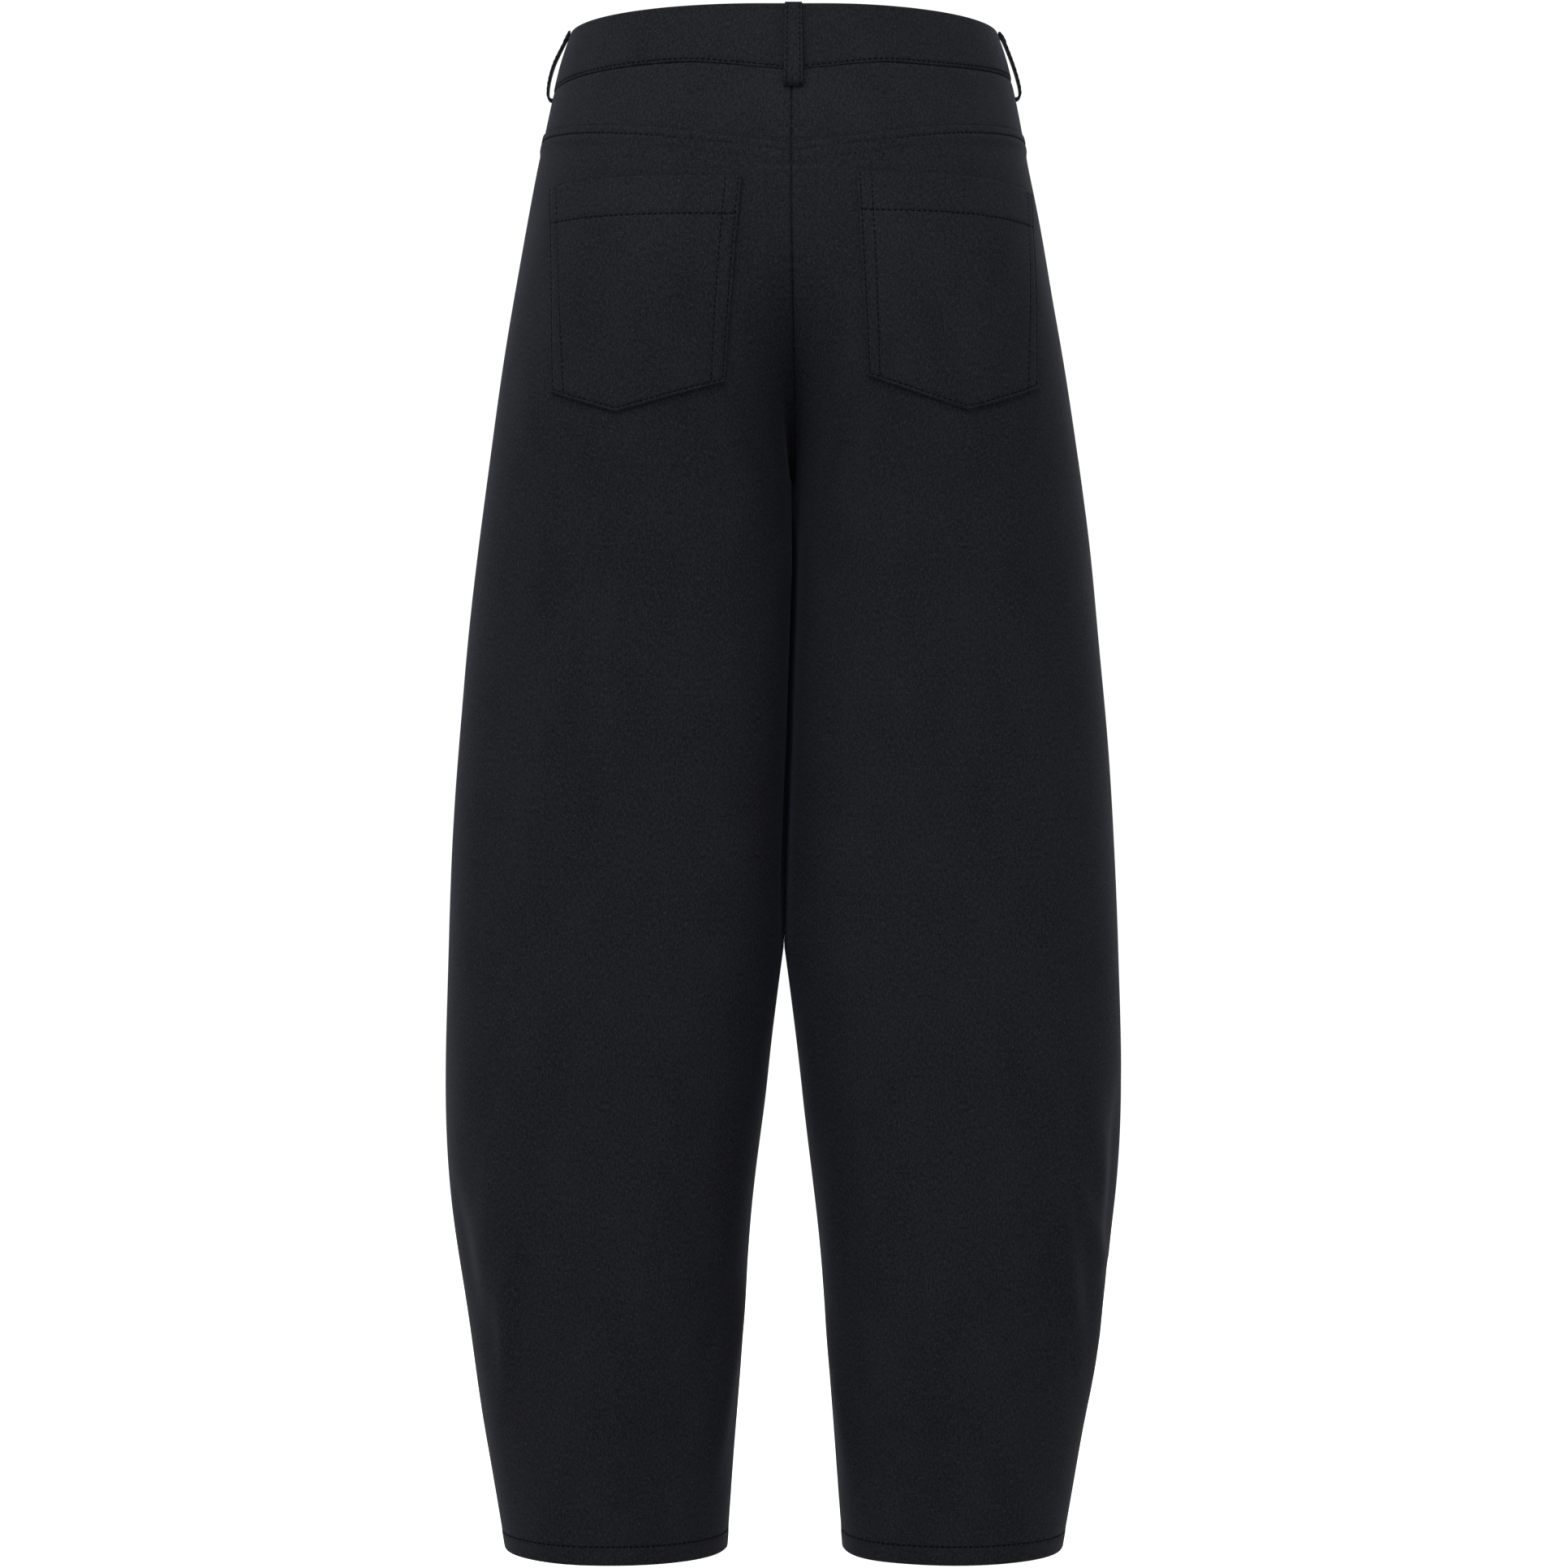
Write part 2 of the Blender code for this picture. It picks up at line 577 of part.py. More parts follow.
def button(finish):
    """A four-hole button on the waistband's over end: a turned disc with a raised rim."""
    place = -1 + (BUTTON_FROM_END - OVER_END) / (waist_length() / 2)
    height = float(band_top(1.0) + waist_foot(1.0)) / 2
    seat = waist(np.array([place]), np.array([height]), np.array([BAND_PROUD]))[0]
    lifted = waist(np.array([place]), np.array([height]), np.array([BAND_PROUD + 1.0]))[0]
    axis = lifted - seat
    axis /= np.linalg.norm(axis)
    side = np.cross(axis, (0, 0, 1))
    side /= np.linalg.norm(side)
    up = np.cross(side, axis)
    radius = BUTTON_ACROSS / 2
    rim = radius - BUTTON_RIM
    dished = BUTTON_THICK - BUTTON_DISH
    profile = (
        (0, 0.0), (radius - BUTTON_BACK_CHAMFER, 0.0), (radius, BUTTON_BACK_CHAMFER),
        (radius, BUTTON_THICK - BUTTON_EDGE_CHAMFER), (radius - BUTTON_EDGE_CHAMFER, BUTTON_THICK),
        (rim, BUTTON_THICK), (rim - BUTTON_DISH, dished), (0, dished),
    )
    base = seat + axis * BUTTON_GAP

    def at(r, h, angle):
        return base + axis * h + (side * math.cos(angle) + up * math.sin(angle)) * r

    turns = [2 * math.pi * i / BUTTON_SIDES for i in range(BUTTON_SIDES)]
    points = [at(0, profile[0][1], 0)]
    for r, h in profile[1:-1]:
        points += [at(r, h, turn) for turn in turns]
    points.append(at(0, profile[-1][1], 0))
    faces = []
    rings = len(profile) - 2
    last = len(points) - 1
    for i in range(BUTTON_SIDES):
        j = (i + 1) % BUTTON_SIDES
        faces.append((0, 1 + i, 1 + j))
        faces.append((last, 1 + (rings - 1) * BUTTON_SIDES + j, 1 + (rings - 1) * BUTTON_SIDES + i))
        for k in range(rings - 1):
            a, b = 1 + k * BUTTON_SIDES, 1 + (k + 1) * BUTTON_SIDES
            faces.append((a + i, b + i, b + j, a + j))
    made = finish_mesh("waist_button", points, faces, finish)

    cutter_points, cutter_faces = [], []
    for sx in (-1, 1):
        for sz in (-1, 1):
            start = len(cutter_points)
            middle = side * (sx * BUTTON_HOLE_PITCH / 2) + up * (sz * BUTTON_HOLE_PITCH / 2)
            for h in (-BUTTON_HOLE_SPARE, BUTTON_THICK + BUTTON_HOLE_SPARE):
                for i in range(HOLE_SIDES):
                    turn = 2 * math.pi * i / HOLE_SIDES
                    cutter_points.append(at(BUTTON_HOLE / 2, h, turn) + middle)
            low = list(range(start, start + HOLE_SIDES))
            high = list(range(start + HOLE_SIDES, start + 2 * HOLE_SIDES))
            cutter_faces += [tuple(low), tuple(high)]
            for i in range(HOLE_SIDES):
                j = (i + 1) % HOLE_SIDES
                cutter_faces.append((low[i], low[j], high[j], high[i]))
    cutter = finish_mesh("button_hole_cutter", cutter_points, cutter_faces, finish)
    cutter.hide_render = True
    cutter.display_type = "WIRE"
    cut = made.modifiers.new("holes", "BOOLEAN")
    cut.operation = "DIFFERENCE"
    cut.object = cutter
    return made


def build():
    for old in list(bpy.data.objects):
        bpy.data.objects.remove(old)
    twill = material("wool_twill", (0.014, 0.015, 0.020), 0.9)
    horn = material("button_horn", (0.012, 0.012, 0.015), 0.35)
    waistband(twill)
    for half in HALVES:
        back_yoke(half, twill)
        back_pocket(half, twill)
        for part in PARTS:
            leg_panel(half, part, twill)
    for row in LOOPS:
        belt_loop(row, twill)
    button(horn)


build()
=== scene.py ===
"""Barrel-leg trousers of brushed wool twill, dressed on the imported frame.

Every piece of cloth is a thin shell on the same body form as its solid. The form is a stack of horizontal
sections that run from the centre seam, or the inside leg seam, round the outside of one leg. A place on it
is a share of that run and a height. Shapes are worked out in millimetres and stored in metres.
"""

import math

import bpy
import numpy as np
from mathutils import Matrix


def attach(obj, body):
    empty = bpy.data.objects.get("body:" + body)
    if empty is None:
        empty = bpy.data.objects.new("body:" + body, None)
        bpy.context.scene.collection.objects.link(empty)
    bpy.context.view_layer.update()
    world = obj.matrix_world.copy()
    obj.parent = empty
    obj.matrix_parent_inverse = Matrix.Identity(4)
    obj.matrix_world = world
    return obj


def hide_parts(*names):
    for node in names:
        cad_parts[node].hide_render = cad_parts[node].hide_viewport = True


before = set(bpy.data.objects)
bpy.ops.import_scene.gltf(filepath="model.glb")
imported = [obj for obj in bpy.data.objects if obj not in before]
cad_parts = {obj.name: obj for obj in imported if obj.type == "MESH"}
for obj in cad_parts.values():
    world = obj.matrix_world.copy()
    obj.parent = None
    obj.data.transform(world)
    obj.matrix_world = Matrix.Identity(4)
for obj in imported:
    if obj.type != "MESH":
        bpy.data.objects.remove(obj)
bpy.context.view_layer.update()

bl_info = {
    "name": "Barrel-Leg Trousers",
    "version": (1, 0, 0),
    "blender": (4, 5, 0),
    "location": "3D View > Sidebar > Trousers",
    "description": "Builds wool twill trousers in their worn form, with pockets, loops and stitching",
    "category": "Add Mesh",
}

MM = 0.001

# Cloth and seams, in millimetres
CLOTH = 1.6
BAND_CLOTH = 2.6
BAND_PROUD = 0.5
SEAM_GAP = 0.3
POCKET_GAP = 0.6

# Heights, in millimetres
BAND_TOP = 20.0
BAND_TOP_FRONT_DIP = 8.0
BAND_FOOT = -17.2
BAND_FOOT_BACK_DIP = 6.5
BAND_FOOT_DIP_REACH = 62.0
BAND_FOOT_DIP_POWER = 1.1
BAND_FOOT_TILT = {"left": -2.5, "right": 5.5}
BAND_FOOT_TILT_FROM = 0.4
YOKE_FOOT = -72.7
YOKE_RISE = 0.155
CROTCH = -275.0
LEGS_PART = -680.0
FLY_FOOT = -165.0
HEM = -960.0
HEM_DEPTH = 12.5

# The body form: the right half's section at each height.
# outer: side seam from the centre plane. fullest: where front and back are deepest. inner: half the gap
# between the legs, closed where it is negative. back, front: depths. middle: the side seam's y.
# square_out, square_in: exponents of the outer and inner quarters, 2 being an ellipse.
SECTION_COLUMNS = (
    "height", "outer", "fullest", "inner", "back", "front", "middle", "square_out", "square_in",
)
SECTIONS = (
    (20, 137.4, 20, -90.0, 104, 92, 0, 1.95, 2.0),
    (0, 143.8, 24, -86.0, 108, 95, 0, 2.00, 2.0),
    (-35, 152.0, 34, -81.0, 117, 99, -1, 2.10, 2.0),
    (-88, 162.2, 50, -73.0, 129, 104, -3, 2.20, 2.1),
    (-167, 175.8, 68, -61.0, 136, 108, -6, 2.30, 2.2),
    (-272, 191.4, 86, -45.0, 126, 111, -10, 2.35, 2.4),
    (-378, 203.8, 97, -29.0, 114, 110, -6, 2.35, 2.6),
    (-483, 212.3, 105, -13.0, 107, 107, -2, 2.35, 2.6),
    (-588, 217.0, 110, 2.4, 103, 102, 0, 2.35, 2.5),
    (-667, 218.0, 115, 12.4, 99, 97, 0, 2.30, 2.4),
    (-730, 214.9, 117, 20.0, 95, 92, 0, 2.30, 2.3),
    (-790, 206.9, 116, 25.2, 89, 86, 0, 2.25, 2.3),
    (-870, 194.7, 113, 31.2, 79, 75, 0, 2.20, 2.2),
    (-960, 179.4, 109, 37.8, 68, 62, 0, 2.15, 2.2),
)
CLEFT_POWER = 3.2
LEG_PARTING = 0.2

# How far the centre seam and the line between the legs stand off the middle, behind and in front.
CENTRE_COLUMNS = ("height", "behind", "before")
CENTRES = (
    (20, 5.0, 5.0),
    (-100, 4.5, 5.0),
    (-165, 5.5, 4.0),
    (-230, 7.0, 0.0),
    (-330, 9.5, -3.5),
    (-430, 6.0, -2.5),
    (-570, 0.0, 0.0),
    (-960, 0.0, 0.0),
)
CENTRE_REACH = 70.0
CENTRE_TURN = 35.0

# The largest folds, as in the solids. share runs from the inner seam (0) to the side seam (1) of a panel.
# A crest has a positive depth and a trough a negative one, and width is from its line to where it fades.
FOLD_COLUMNS = (
    "half", "panel", "from_height", "from_share", "to_height", "to_share", "depth", "width",
)
FOLDS = (
    ("left", "back", -150, 0.68, -700, 0.62, 2.2, 17),
    ("left", "back", -640, 0.64, -900, 0.86, 2.4, 18),
    ("left", "back", -700, 0.90, -850, 0.78, -2.0, 15),
    ("left", "back", -770, 0.05, -940, 0.24, 2.6, 16),
    ("left", "back", -760, 0.16, -930, 0.36, -1.6, 16),
    ("left", "front", -180, 0.60, -720, 0.58, 2.0, 18),
    ("left", "front", -640, 0.72, -880, 0.88, 2.2, 17),
    ("left", "front", -250, 0.16, -400, 0.34, 2.0, 18),
    ("right", "back", -330, 0.66, -660, 0.70, 1.8, 17),
    ("right", "back", -620, 0.72, -900, 0.93, 3.6, 17),
    ("right", "back", -640, 0.90, -800, 0.83, -2.6, 15),
    ("right", "back", -790, 0.06, -940, 0.20, 1.8, 16),
    ("right", "front", -170, 0.62, -700, 0.60, 1.8, 18),
    ("right", "front", -630, 0.74, -870, 0.90, 2.6, 17),
    ("right", "front", -260, 0.18, -410, 0.36, 1.8, 18),
)

# Finer creases that only the shells have. x is from the centre plane, and bow bends the line sideways.
CREASE_COLUMNS = (
    "half", "panel", "from_height", "from_x", "to_height", "to_x", "bow", "depth", "width",
)
CREASES = (
    ("right", "back", -640, 166, -870, 192, -3, 3.2, 6.0),
    ("right", "back", -685, 172, -790, 205, 2, 1.9, 5.5),
    ("right", "back", -700, 190, -765, 196, 2, -2.0, 8.0),
    ("right", "back", -745, 190, -820, 193, 0, -1.6, 6.5),
    ("right", "back", -768, 206, -788, 199, 0, -1.0, 3.5),
    ("right", "back", -840, 52, -930, 60, 3, 0.6, 7.0),
    ("left", "back", -690, 168, -900, 184, -4, 2.4, 7.0),
    ("left", "back", -755, 186, -870, 177, 2, -1.4, 7.0),
    ("left", "back", -815, 36, -910, 58, 4, 2.7, 6.5),
    ("left", "back", -795, 42, -885, 48, 2, -1.5, 7.0),
    ("left", "back", -300, 34, -420, 66, 6, 0.7, 12.0),
    ("right", "back", -290, 38, -400, 74, 6, 0.6, 13.0),
    ("left", "front", -660, 172, -850, 190, -3, 1.1, 7.0),
    ("left", "front", -715, 193, -795, 198, 2, -0.9, 7.0),
    ("left", "front", -238, 20, -335, 70, 9, 1.1, 9.0),
    ("left", "front", -262, 16, -372, 52, 7, -0.8, 9.0),
    ("right", "front", -670, 168, -840, 188, 3, 1.0, 7.0),
    ("right", "front", -725, 190, -800, 196, -2, -0.8, 6.5),
    ("right", "front", -232, 22, -322, 76, 8, 1.0, 9.5),
    ("right", "front", -258, 18, -360, 56, 6, -0.7, 9.0),
    ("right", "front", -800, 50, -925, 66, -3, 0.7, 8.0),
    ("left", "front", -815, 48, -915, 60, 4, 0.8, 7.5),
)

# The cloth's slow waver: height in mm, then waves for each metre along x, y and z, and where it starts.
WAVER_COLUMNS = ("height", "across", "through", "along", "start")
WAVER = (
    (0.42, 34, 21, 5, 0.4),
    (0.30, -52, 40, 9, 1.9),
    (0.26, 78, -33, 14, 4.1),
    (0.20, 25, 61, 38, 2.7),
    (0.13, -96, 74, 47, 5.2),
)

# The corners of the patch pockets, by distance from the centre plane
CORNER_COLUMNS = ("half", "corner", "from_centre", "height")
CORNERS = (
    ("left", "inner_top", 29.6, -91.9),
    ("left", "outer_top", 146.1, -91.9),
    ("left", "outer_foot", 143.9, -223.3),
    ("left", "tip", 104.0, -236.7),
    ("left", "inner_foot", 42.0, -217.8),
    ("right", "inner_top", 41.6, -89.0),
    ("right", "outer_top", 155.8, -91.6),
    ("right", "outer_foot", 157.2, -219.3),
    ("right", "tip", 112.4, -235.5),
    ("right", "inner_foot", 47.6, -214.5),
)
POCKET_HEM = 24.0
POCKET_HEM_LIFT = 0.35

# Belt loops. place runs round the waist from the centre back (0) to the centre front (1 or -1), rise is
# from the waistband's top edge to the loop's, foot is the height of the lower end, bow is how far the strip
# stands off the waistband, opens names its column of the path, and lean is how far behind the loop its top
# end is sewn.
LOOP_COLUMNS = ("name", "place", "rise", "foot", "bow", "opens", "lean")
LOOPS = (
    ("belt_loop_back", 0.0023, 0.0, -33.6, 4.4, "late", 0.0),
    ("belt_loop_side_left", -0.5, 0.4, -23.4, 3.9, "late", 3.5),
    ("belt_loop_side_right", 0.5, 0.4, -22.6, 3.3, "early", -1.0),
    ("belt_loop_front_left", -0.79, 0.6, -26.0, 5.4, "late", 0.0),
    ("belt_loop_front_right", 0.79, 0.6, -26.0, 5.4, "late", 0.0),
)
# A loop's path: shares of its length, of its drop and of its bow, turned in under itself at the foot
LOOP_PATH_COLUMNS = ("along", "down", "late", "early")
LOOP_PATH = (
    (0.00, 0.000, 0.00, 0.00),
    (0.06, 0.065, 0.06, 0.34),
    (0.16, 0.165, 0.27, 0.58),
    (0.30, 0.310, 0.60, 0.72),
    (0.45, 0.465, 0.90, 0.85),
    (0.58, 0.605, 1.00, 0.95),
    (0.72, 0.755, 0.97, 1.00),
    (0.84, 0.880, 0.80, 0.94),
    (0.91, 0.955, 0.56, 0.70),
    (0.96, 0.998, 0.24, 0.30),
    (1.00, 0.990, 0.00, 0.00),
)
LOOP_WIDTH = 11.0
LOOP_CLOTH = 1.6
LOOP_SEAT = BAND_PROUD + SEAM_GAP

# The closed waistband: its left end lies over its right end, which tucks under.
OVER_END = 5.0
UNDER_END = 24.0
TUCK = BAND_CLOTH + SEAM_GAP
TUCK_FROM = 8.0
TUCK_TO = 34.0

# Sewing, in millimetres
YOKE_STITCH = 5.0
BAND_STITCH = 1.8
EDGE_STITCH = 2.0
SECOND_STITCH = 9.5
FLY_STITCH = 36.0
GROOVE = 0.6
SEAM_DIP = 1.2
SEAM_WIDTH = 0.65
ALLOWANCE = 9.0
ALLOWANCE_LIFT = 0.2
YOKE_LAP = 1.0

# Behind, where the legs lie together, the left one falls back from the right one. depth is how far, place is
# how far from the inner seam along the cloth, and reach is how far it fades on both sides.
VALLEY_COLUMNS = ("height", "depth", "place", "reach")
VALLEY = (
    (-175, 0.0, 12, 9),
    (-235, -1.6, 15, 10),
    (-285, -3.6, 20, 12),
    (-335, -5.2, 22, 13),
    (-430, -5.4, 22, 13),
    (-510, -4.0, 22, 13),
    (-590, 0.0, 22, 13),
)
RIGHT_SWELL = 2.2
RIGHT_SWELL_PLACE = 46.0
RIGHT_SWELL_REACH = 15.0
TURN_UP = 0.7
BAND_DIP = 1.35
BAND_DIP_WIDTH = 1.5

BUTTON_ACROSS = 17.0
BUTTON_FROM_END = 14.0
BUTTON_HOLE = 1.9
BUTTON_HOLE_PITCH = 3.6

# Distances from an edge at which a shell has grid lines, and the spacing away from the edges
EDGE_LINES = np.array((0.0, 0.12, 0.35, 0.8, 1.4, 2.2, 3.2, 4.0, 4.6, 5.0, 5.4, 6.0, 7.2, 9.0, 11.0, 13.0))
HEM_LINES = np.array((0.0, 0.25, 0.7, 1.3, 2.2, 4.0, 7.0, 10.0, 11.6, 12.5, 13.4, 15.0, 18.0))
SIDE_LINES = np.array((0.0, 0.35, 0.8, 1.5, 2.6, 4.2, 6.5, 9.0, 12.0))
GRID = 4.0
PANEL_COLUMNS = 66

PARTS = ("back", "front")
HALVES = {"left": -1.0, "right": 1.0}
FACING = {"back": -1.0, "front": 1.0}


# The body form


def columns(names, rows):
    """A table as one array for each named column, its rows sorted by height, low to high."""
    ordered = sorted(rows, key=lambda row: row[0])
    return {name: np.array([row[i] for row in ordered]) for i, name in enumerate(names)}


def spline(knots, values, at):
    """The natural cubic spline through the knots, read at any points."""
    count = len(knots)
    step = np.diff(knots)
    slope = np.diff(values) / step
    system = np.eye(count)
    right = np.zeros(count)
    for i in range(1, count - 1):
        system[i, i - 1 : i + 2] = (step[i - 1], 2 * (step[i - 1] + step[i]), step[i])
        right[i] = 3 * (slope[i] - slope[i - 1])
    bend = np.linalg.solve(system, right)
    at = np.asarray(at, float)
    i = np.clip(np.searchsorted(knots, at) - 1, 0, count - 2)
    along = at - knots[i]
    first = slope[i] - step[i] * (2 * bend[i] + bend[i + 1]) / 3
    third = (bend[i + 1] - bend[i]) / (3 * step[i])
    return values[i] + along * (first + along * (bend[i] + along * third))


SECTION_TABLE = columns(SECTION_COLUMNS, SECTIONS)
CENTRE_TABLE = columns(CENTRE_COLUMNS, CENTRES)
LOOP_TABLE = columns(LOOP_PATH_COLUMNS, LOOP_PATH)
VALLEY_TABLE = columns(VALLEY_COLUMNS, VALLEY)


def section(name, z):
    return spline(SECTION_TABLE["height"], SECTION_TABLE[name], z)


def smoothstep(x):
    x = np.clip(x, 0, 1)
    return x * x * (3 - 2 * x)


def bell(x):
    return np.exp(-np.square(x))


def cleft(z):
    """How much of the inner quarter the centre plane keeps: 0 at the waist, 1 at the crotch and below."""
    rise = np.clip((z - CROTCH) / (BAND_TOP - CROTCH), 0, 0.99)
    return np.maximum(np.cos(math.pi / 2 * rise) ** CLEFT_POWER, 0.01)


def quarters(part, z):
    """Centre, half widths, depth and exponents of the section at z."""
    centre_x = section("fullest", z)
    centre_y = section("middle", z)
    gap = section("inner", z)
    gap = (gap + np.sqrt(gap**2 + LEG_PARTING**2)) / 2
    gap = np.where(z > CROTCH, 0, gap * smoothstep((CROTCH - z) / 60))
    inward = np.where(z > CROTCH, centre_x / cleft(z), centre_x - gap)
    outward = section("outer", z) - centre_x
    depth = section(part, z) - FACING[part] * centre_y
    return centre_x, centre_y, inward, outward, depth, section("square_in", z), section("square_out", z)


def first_angle(part, z):
    """The angle at which the section leaves the centre plane, or 0 at the inside leg seam."""
    centre_x, _, inward, _, depth, square_in, _ = quarters(part, z)
    share = np.clip(1 - (centre_x / inward) ** square_in, 0, 1)
    reach = np.where(z > CROTCH, depth * share ** (1 / square_in), 0)
    return np.arctan2(reach, centre_x)


def outline(part, angle, z):
    """A point of the right half's form: the angle is 0 towards the other leg and pi at the side seam."""
    centre_x, centre_y, inward, outward, depth, square_in, square_out = quarters(part, z)
    toward = np.cos(angle)
    across = np.sin(angle)
    width = np.where(toward > 0, inward, outward)
    power = np.where(toward > 0, square_in, square_out)
    radius = (np.abs(toward / width) ** power + np.abs(across / depth) ** power) ** (-1 / power)
    return np.stack(
        (centre_x - radius * toward, centre_y + FACING[part] * radius * across, z + 0 * angle), axis=-1
    )


def even_spacing(part):
    """Where equal steps along the cloth fall, as shares of the angle, for each height of a fine grid."""
    heights = np.linspace(HEM - 20, BAND_TOP + 20, 401)
    shares = np.linspace(0, 1, 721)
    z, share = np.meshgrid(heights, shares, indexing="ij")
    first = first_angle(part, z)
    points = outline(part, first + share * (math.pi - first), z)
    lengths = np.linalg.norm(np.diff(points, axis=1), axis=2)
    run = np.concatenate((np.zeros((len(heights), 1)), np.cumsum(lengths, axis=1)), axis=1)
    even = np.linspace(0, 1, 121)
    found = np.array([np.interp(even, r / r[-1], shares) for r in run])
    return heights, even, found, run[:, -1]


SPACING = {part: even_spacing(part) for part in PARTS}


def bilinear(xs, ys, table, x, y):
    i = np.clip(np.searchsorted(xs, x) - 1, 0, len(xs) - 2)
    j = np.clip(np.searchsorted(ys, y) - 1, 0, len(ys) - 2)
    p = (x - xs[i]) / (xs[i + 1] - xs[i])
    q = (y - ys[j]) / (ys[j + 1] - ys[j])
    low = table[i, j] * (1 - q) + table[i, j + 1] * q
    high = table[i + 1, j] * (1 - q) + table[i + 1, j + 1] * q
    return low * (1 - p) + high * p


def cloth_length(part, z):
    """The section's length from the inner seam to the side seam."""
    heights, _, _, lengths = SPACING[part]
    return np.interp(z, heights, lengths)


def fold_lift(half, part, share, z):
    """Soft ridges along straight lines of the cloth, faded at both ends and at the panel's seams."""
    lift = np.zeros(np.broadcast(share, z).shape)
    length = cloth_length(part, z)
    for row in FOLDS:
        fold = dict(zip(FOLD_COLUMNS, row))
        if (fold["half"], fold["panel"]) != (half, part):
            continue
        along = (z - fold["from_height"]) / (fold["to_height"] - fold["from_height"])
        line = fold["from_share"] + along * (fold["to_share"] - fold["from_share"])
        fade = smoothstep(along * 3) * smoothstep((1 - along) * 3)
        lift = lift + fold["depth"] * fade * bell((share - line) * length / fold["width"])
    return lift


def crease_lift(half, part, x, z):
    """Finer ridges and troughs along slightly bowed lines, steeper on the side towards the centre."""
    lift = np.zeros(np.broadcast(x, z).shape)
    for row in CREASES:
        crease = dict(zip(CREASE_COLUMNS, row))
        if (crease["half"], crease["panel"]) != (half, part):
            continue
        along = (z - crease["from_height"]) / (crease["to_height"] - crease["from_height"])
        line = crease["from_x"] + along * (crease["to_x"] - crease["from_x"])
        line = line + crease["bow"] * np.sin(math.pi * np.clip(along, 0, 1))
        off = (x - line) / crease["width"]
        off = np.where(off < 0, off * 1.5, off * 0.8)
        fade = smoothstep(along * 2.4) * smoothstep((1 - along) * 2.4)
        lift = lift + crease["depth"] * fade * bell(off)
    return lift


def waver(points):
    """The sum of a few slow sine waves through space, so that it runs on across every seam."""
    metres = points * MM
    total = np.zeros(points.shape[:-1])
    for row in WAVER:
        wave = dict(zip(WAVER_COLUMNS, row))
        phase = metres @ np.array((wave["across"], wave["through"], wave["along"]))
        total = total + wave["height"] * np.sin(phase + wave["start"])
    return total


def legs_meet(z):
    """1 at the heights where the insides of the legs lie against each other, 0 above and below."""
    return smoothstep((CROTCH - 5 - z) / 20) * smoothstep((z - LEGS_PART) / 60)


def centre_shift(points):
    """Moves the cloth near the centre plane sideways, as far as the seam stands off the middle there."""
    x, y, z = points[..., 0], points[..., 1], points[..., 2]
    behind = np.interp(z, CENTRE_TABLE["height"], CENTRE_TABLE["behind"])
    before = np.interp(z, CENTRE_TABLE["height"], CENTRE_TABLE["before"])
    front_share = (1 + np.tanh(y / CENTRE_TURN)) / 2
    shift = (behind * (1 - front_share) + before * front_share) * bell(x / CENTRE_REACH)
    return points + np.stack((shift, 0 * shift, 0 * shift), axis=-1)


def cloth(half, part, share, z, out=0.0):
    """A point of the cloth's outer face, moved out by out along the form's normal. The two halves meet on the
    centre plane, so their seam is closed there whatever its relief."""
    share, z = np.broadcast_arrays(np.asarray(share, float), np.asarray(z, float))
    heights, even, found, _ = SPACING[part]
    first = first_angle(part, z)
    angle = first + bilinear(heights, even, found, z, share) * (math.pi - first)
    small_turn, small_rise = 1e-4, 0.05
    turn = outline(part, angle + small_turn, z) - outline(part, angle - small_turn, z)
    rise = outline(part, angle, z + small_rise) - outline(part, angle, z - small_rise)
    normal = np.cross(rise, turn) * FACING[part]
    normal /= np.linalg.norm(normal, axis=-1, keepdims=True)
    plain = outline(part, angle, z)
    placed = plain * np.array((HALVES[half], 1.0, 1.0))
    length = cloth_length(part, z)
    from_seam = np.minimum(share, 1 - share) * length
    lift = (fold_lift(half, part, share, z) + crease_lift(half, part, plain[..., 0], z))
    apart = 1 - legs_meet(z) * (1 - smoothstep((share * length - 20) / 70))
    lift = lift * smoothstep(from_seam / 14) + waver(placed) * smoothstep((BAND_FOOT - z) / 60) * apart
    points = plain + normal * (lift + out)[..., None]
    on_centre = (share <= 0) & (z >= CROTCH)
    points[..., 0] = np.where(on_centre, 0.0, points[..., 0]) * HALVES[half]
    return centre_shift(points)


def waist(place, z, out=0.0):
    """A point round the waist. place is 0 at the centre back and 1 or -1 at the centre front, and a place
    past 1 or -1 has crossed the centre front to the other side."""
    place, z, out = np.broadcast_arrays(
        np.asarray(place, float), np.asarray(z, float), np.asarray(out, float)
    )
    wrapped = (place + 1) % 2 - 1
    points = np.zeros(place.shape + (3,))
    for half, side in HALVES.items():
        for part in PARTS:
            distance = wrapped * side
            inside = (distance >= 0) if side > 0 else (distance > 0)
            front = np.abs(wrapped) > 0.5
            chosen = inside & (front if part == "front" else ~front)
            share = 2 * np.where(front, 1 - np.abs(wrapped), np.abs(wrapped))
            if chosen.any():
                points[chosen] = cloth(half, part, share[chosen], z[chosen], out[chosen])
    return points


def waist_length():
    return 2 * (cloth_length("back", 0.0) + cloth_length("front", 0.0))


def band_top(place):
    """The waistband's top edge, which dips towards the centre front."""
    past_side = np.clip(2 * np.abs((np.asarray(place) + 1) % 2 - 1) - 1, 0, 1)
    return BAND_TOP - BAND_TOP_FRONT_DIP * smoothstep(past_side)


def plain_x(part, share, z):
    """How far from the centre plane a share of the cloth lies, on the plain form."""
    heights, even, found, _ = SPACING[part]
    first = first_angle(part, z + 0 * share)
    angle = first + bilinear(heights, even, found, z + 0 * share, share) * (math.pi - first)
    return outline(part, angle, z + 0 * share)[..., 0]


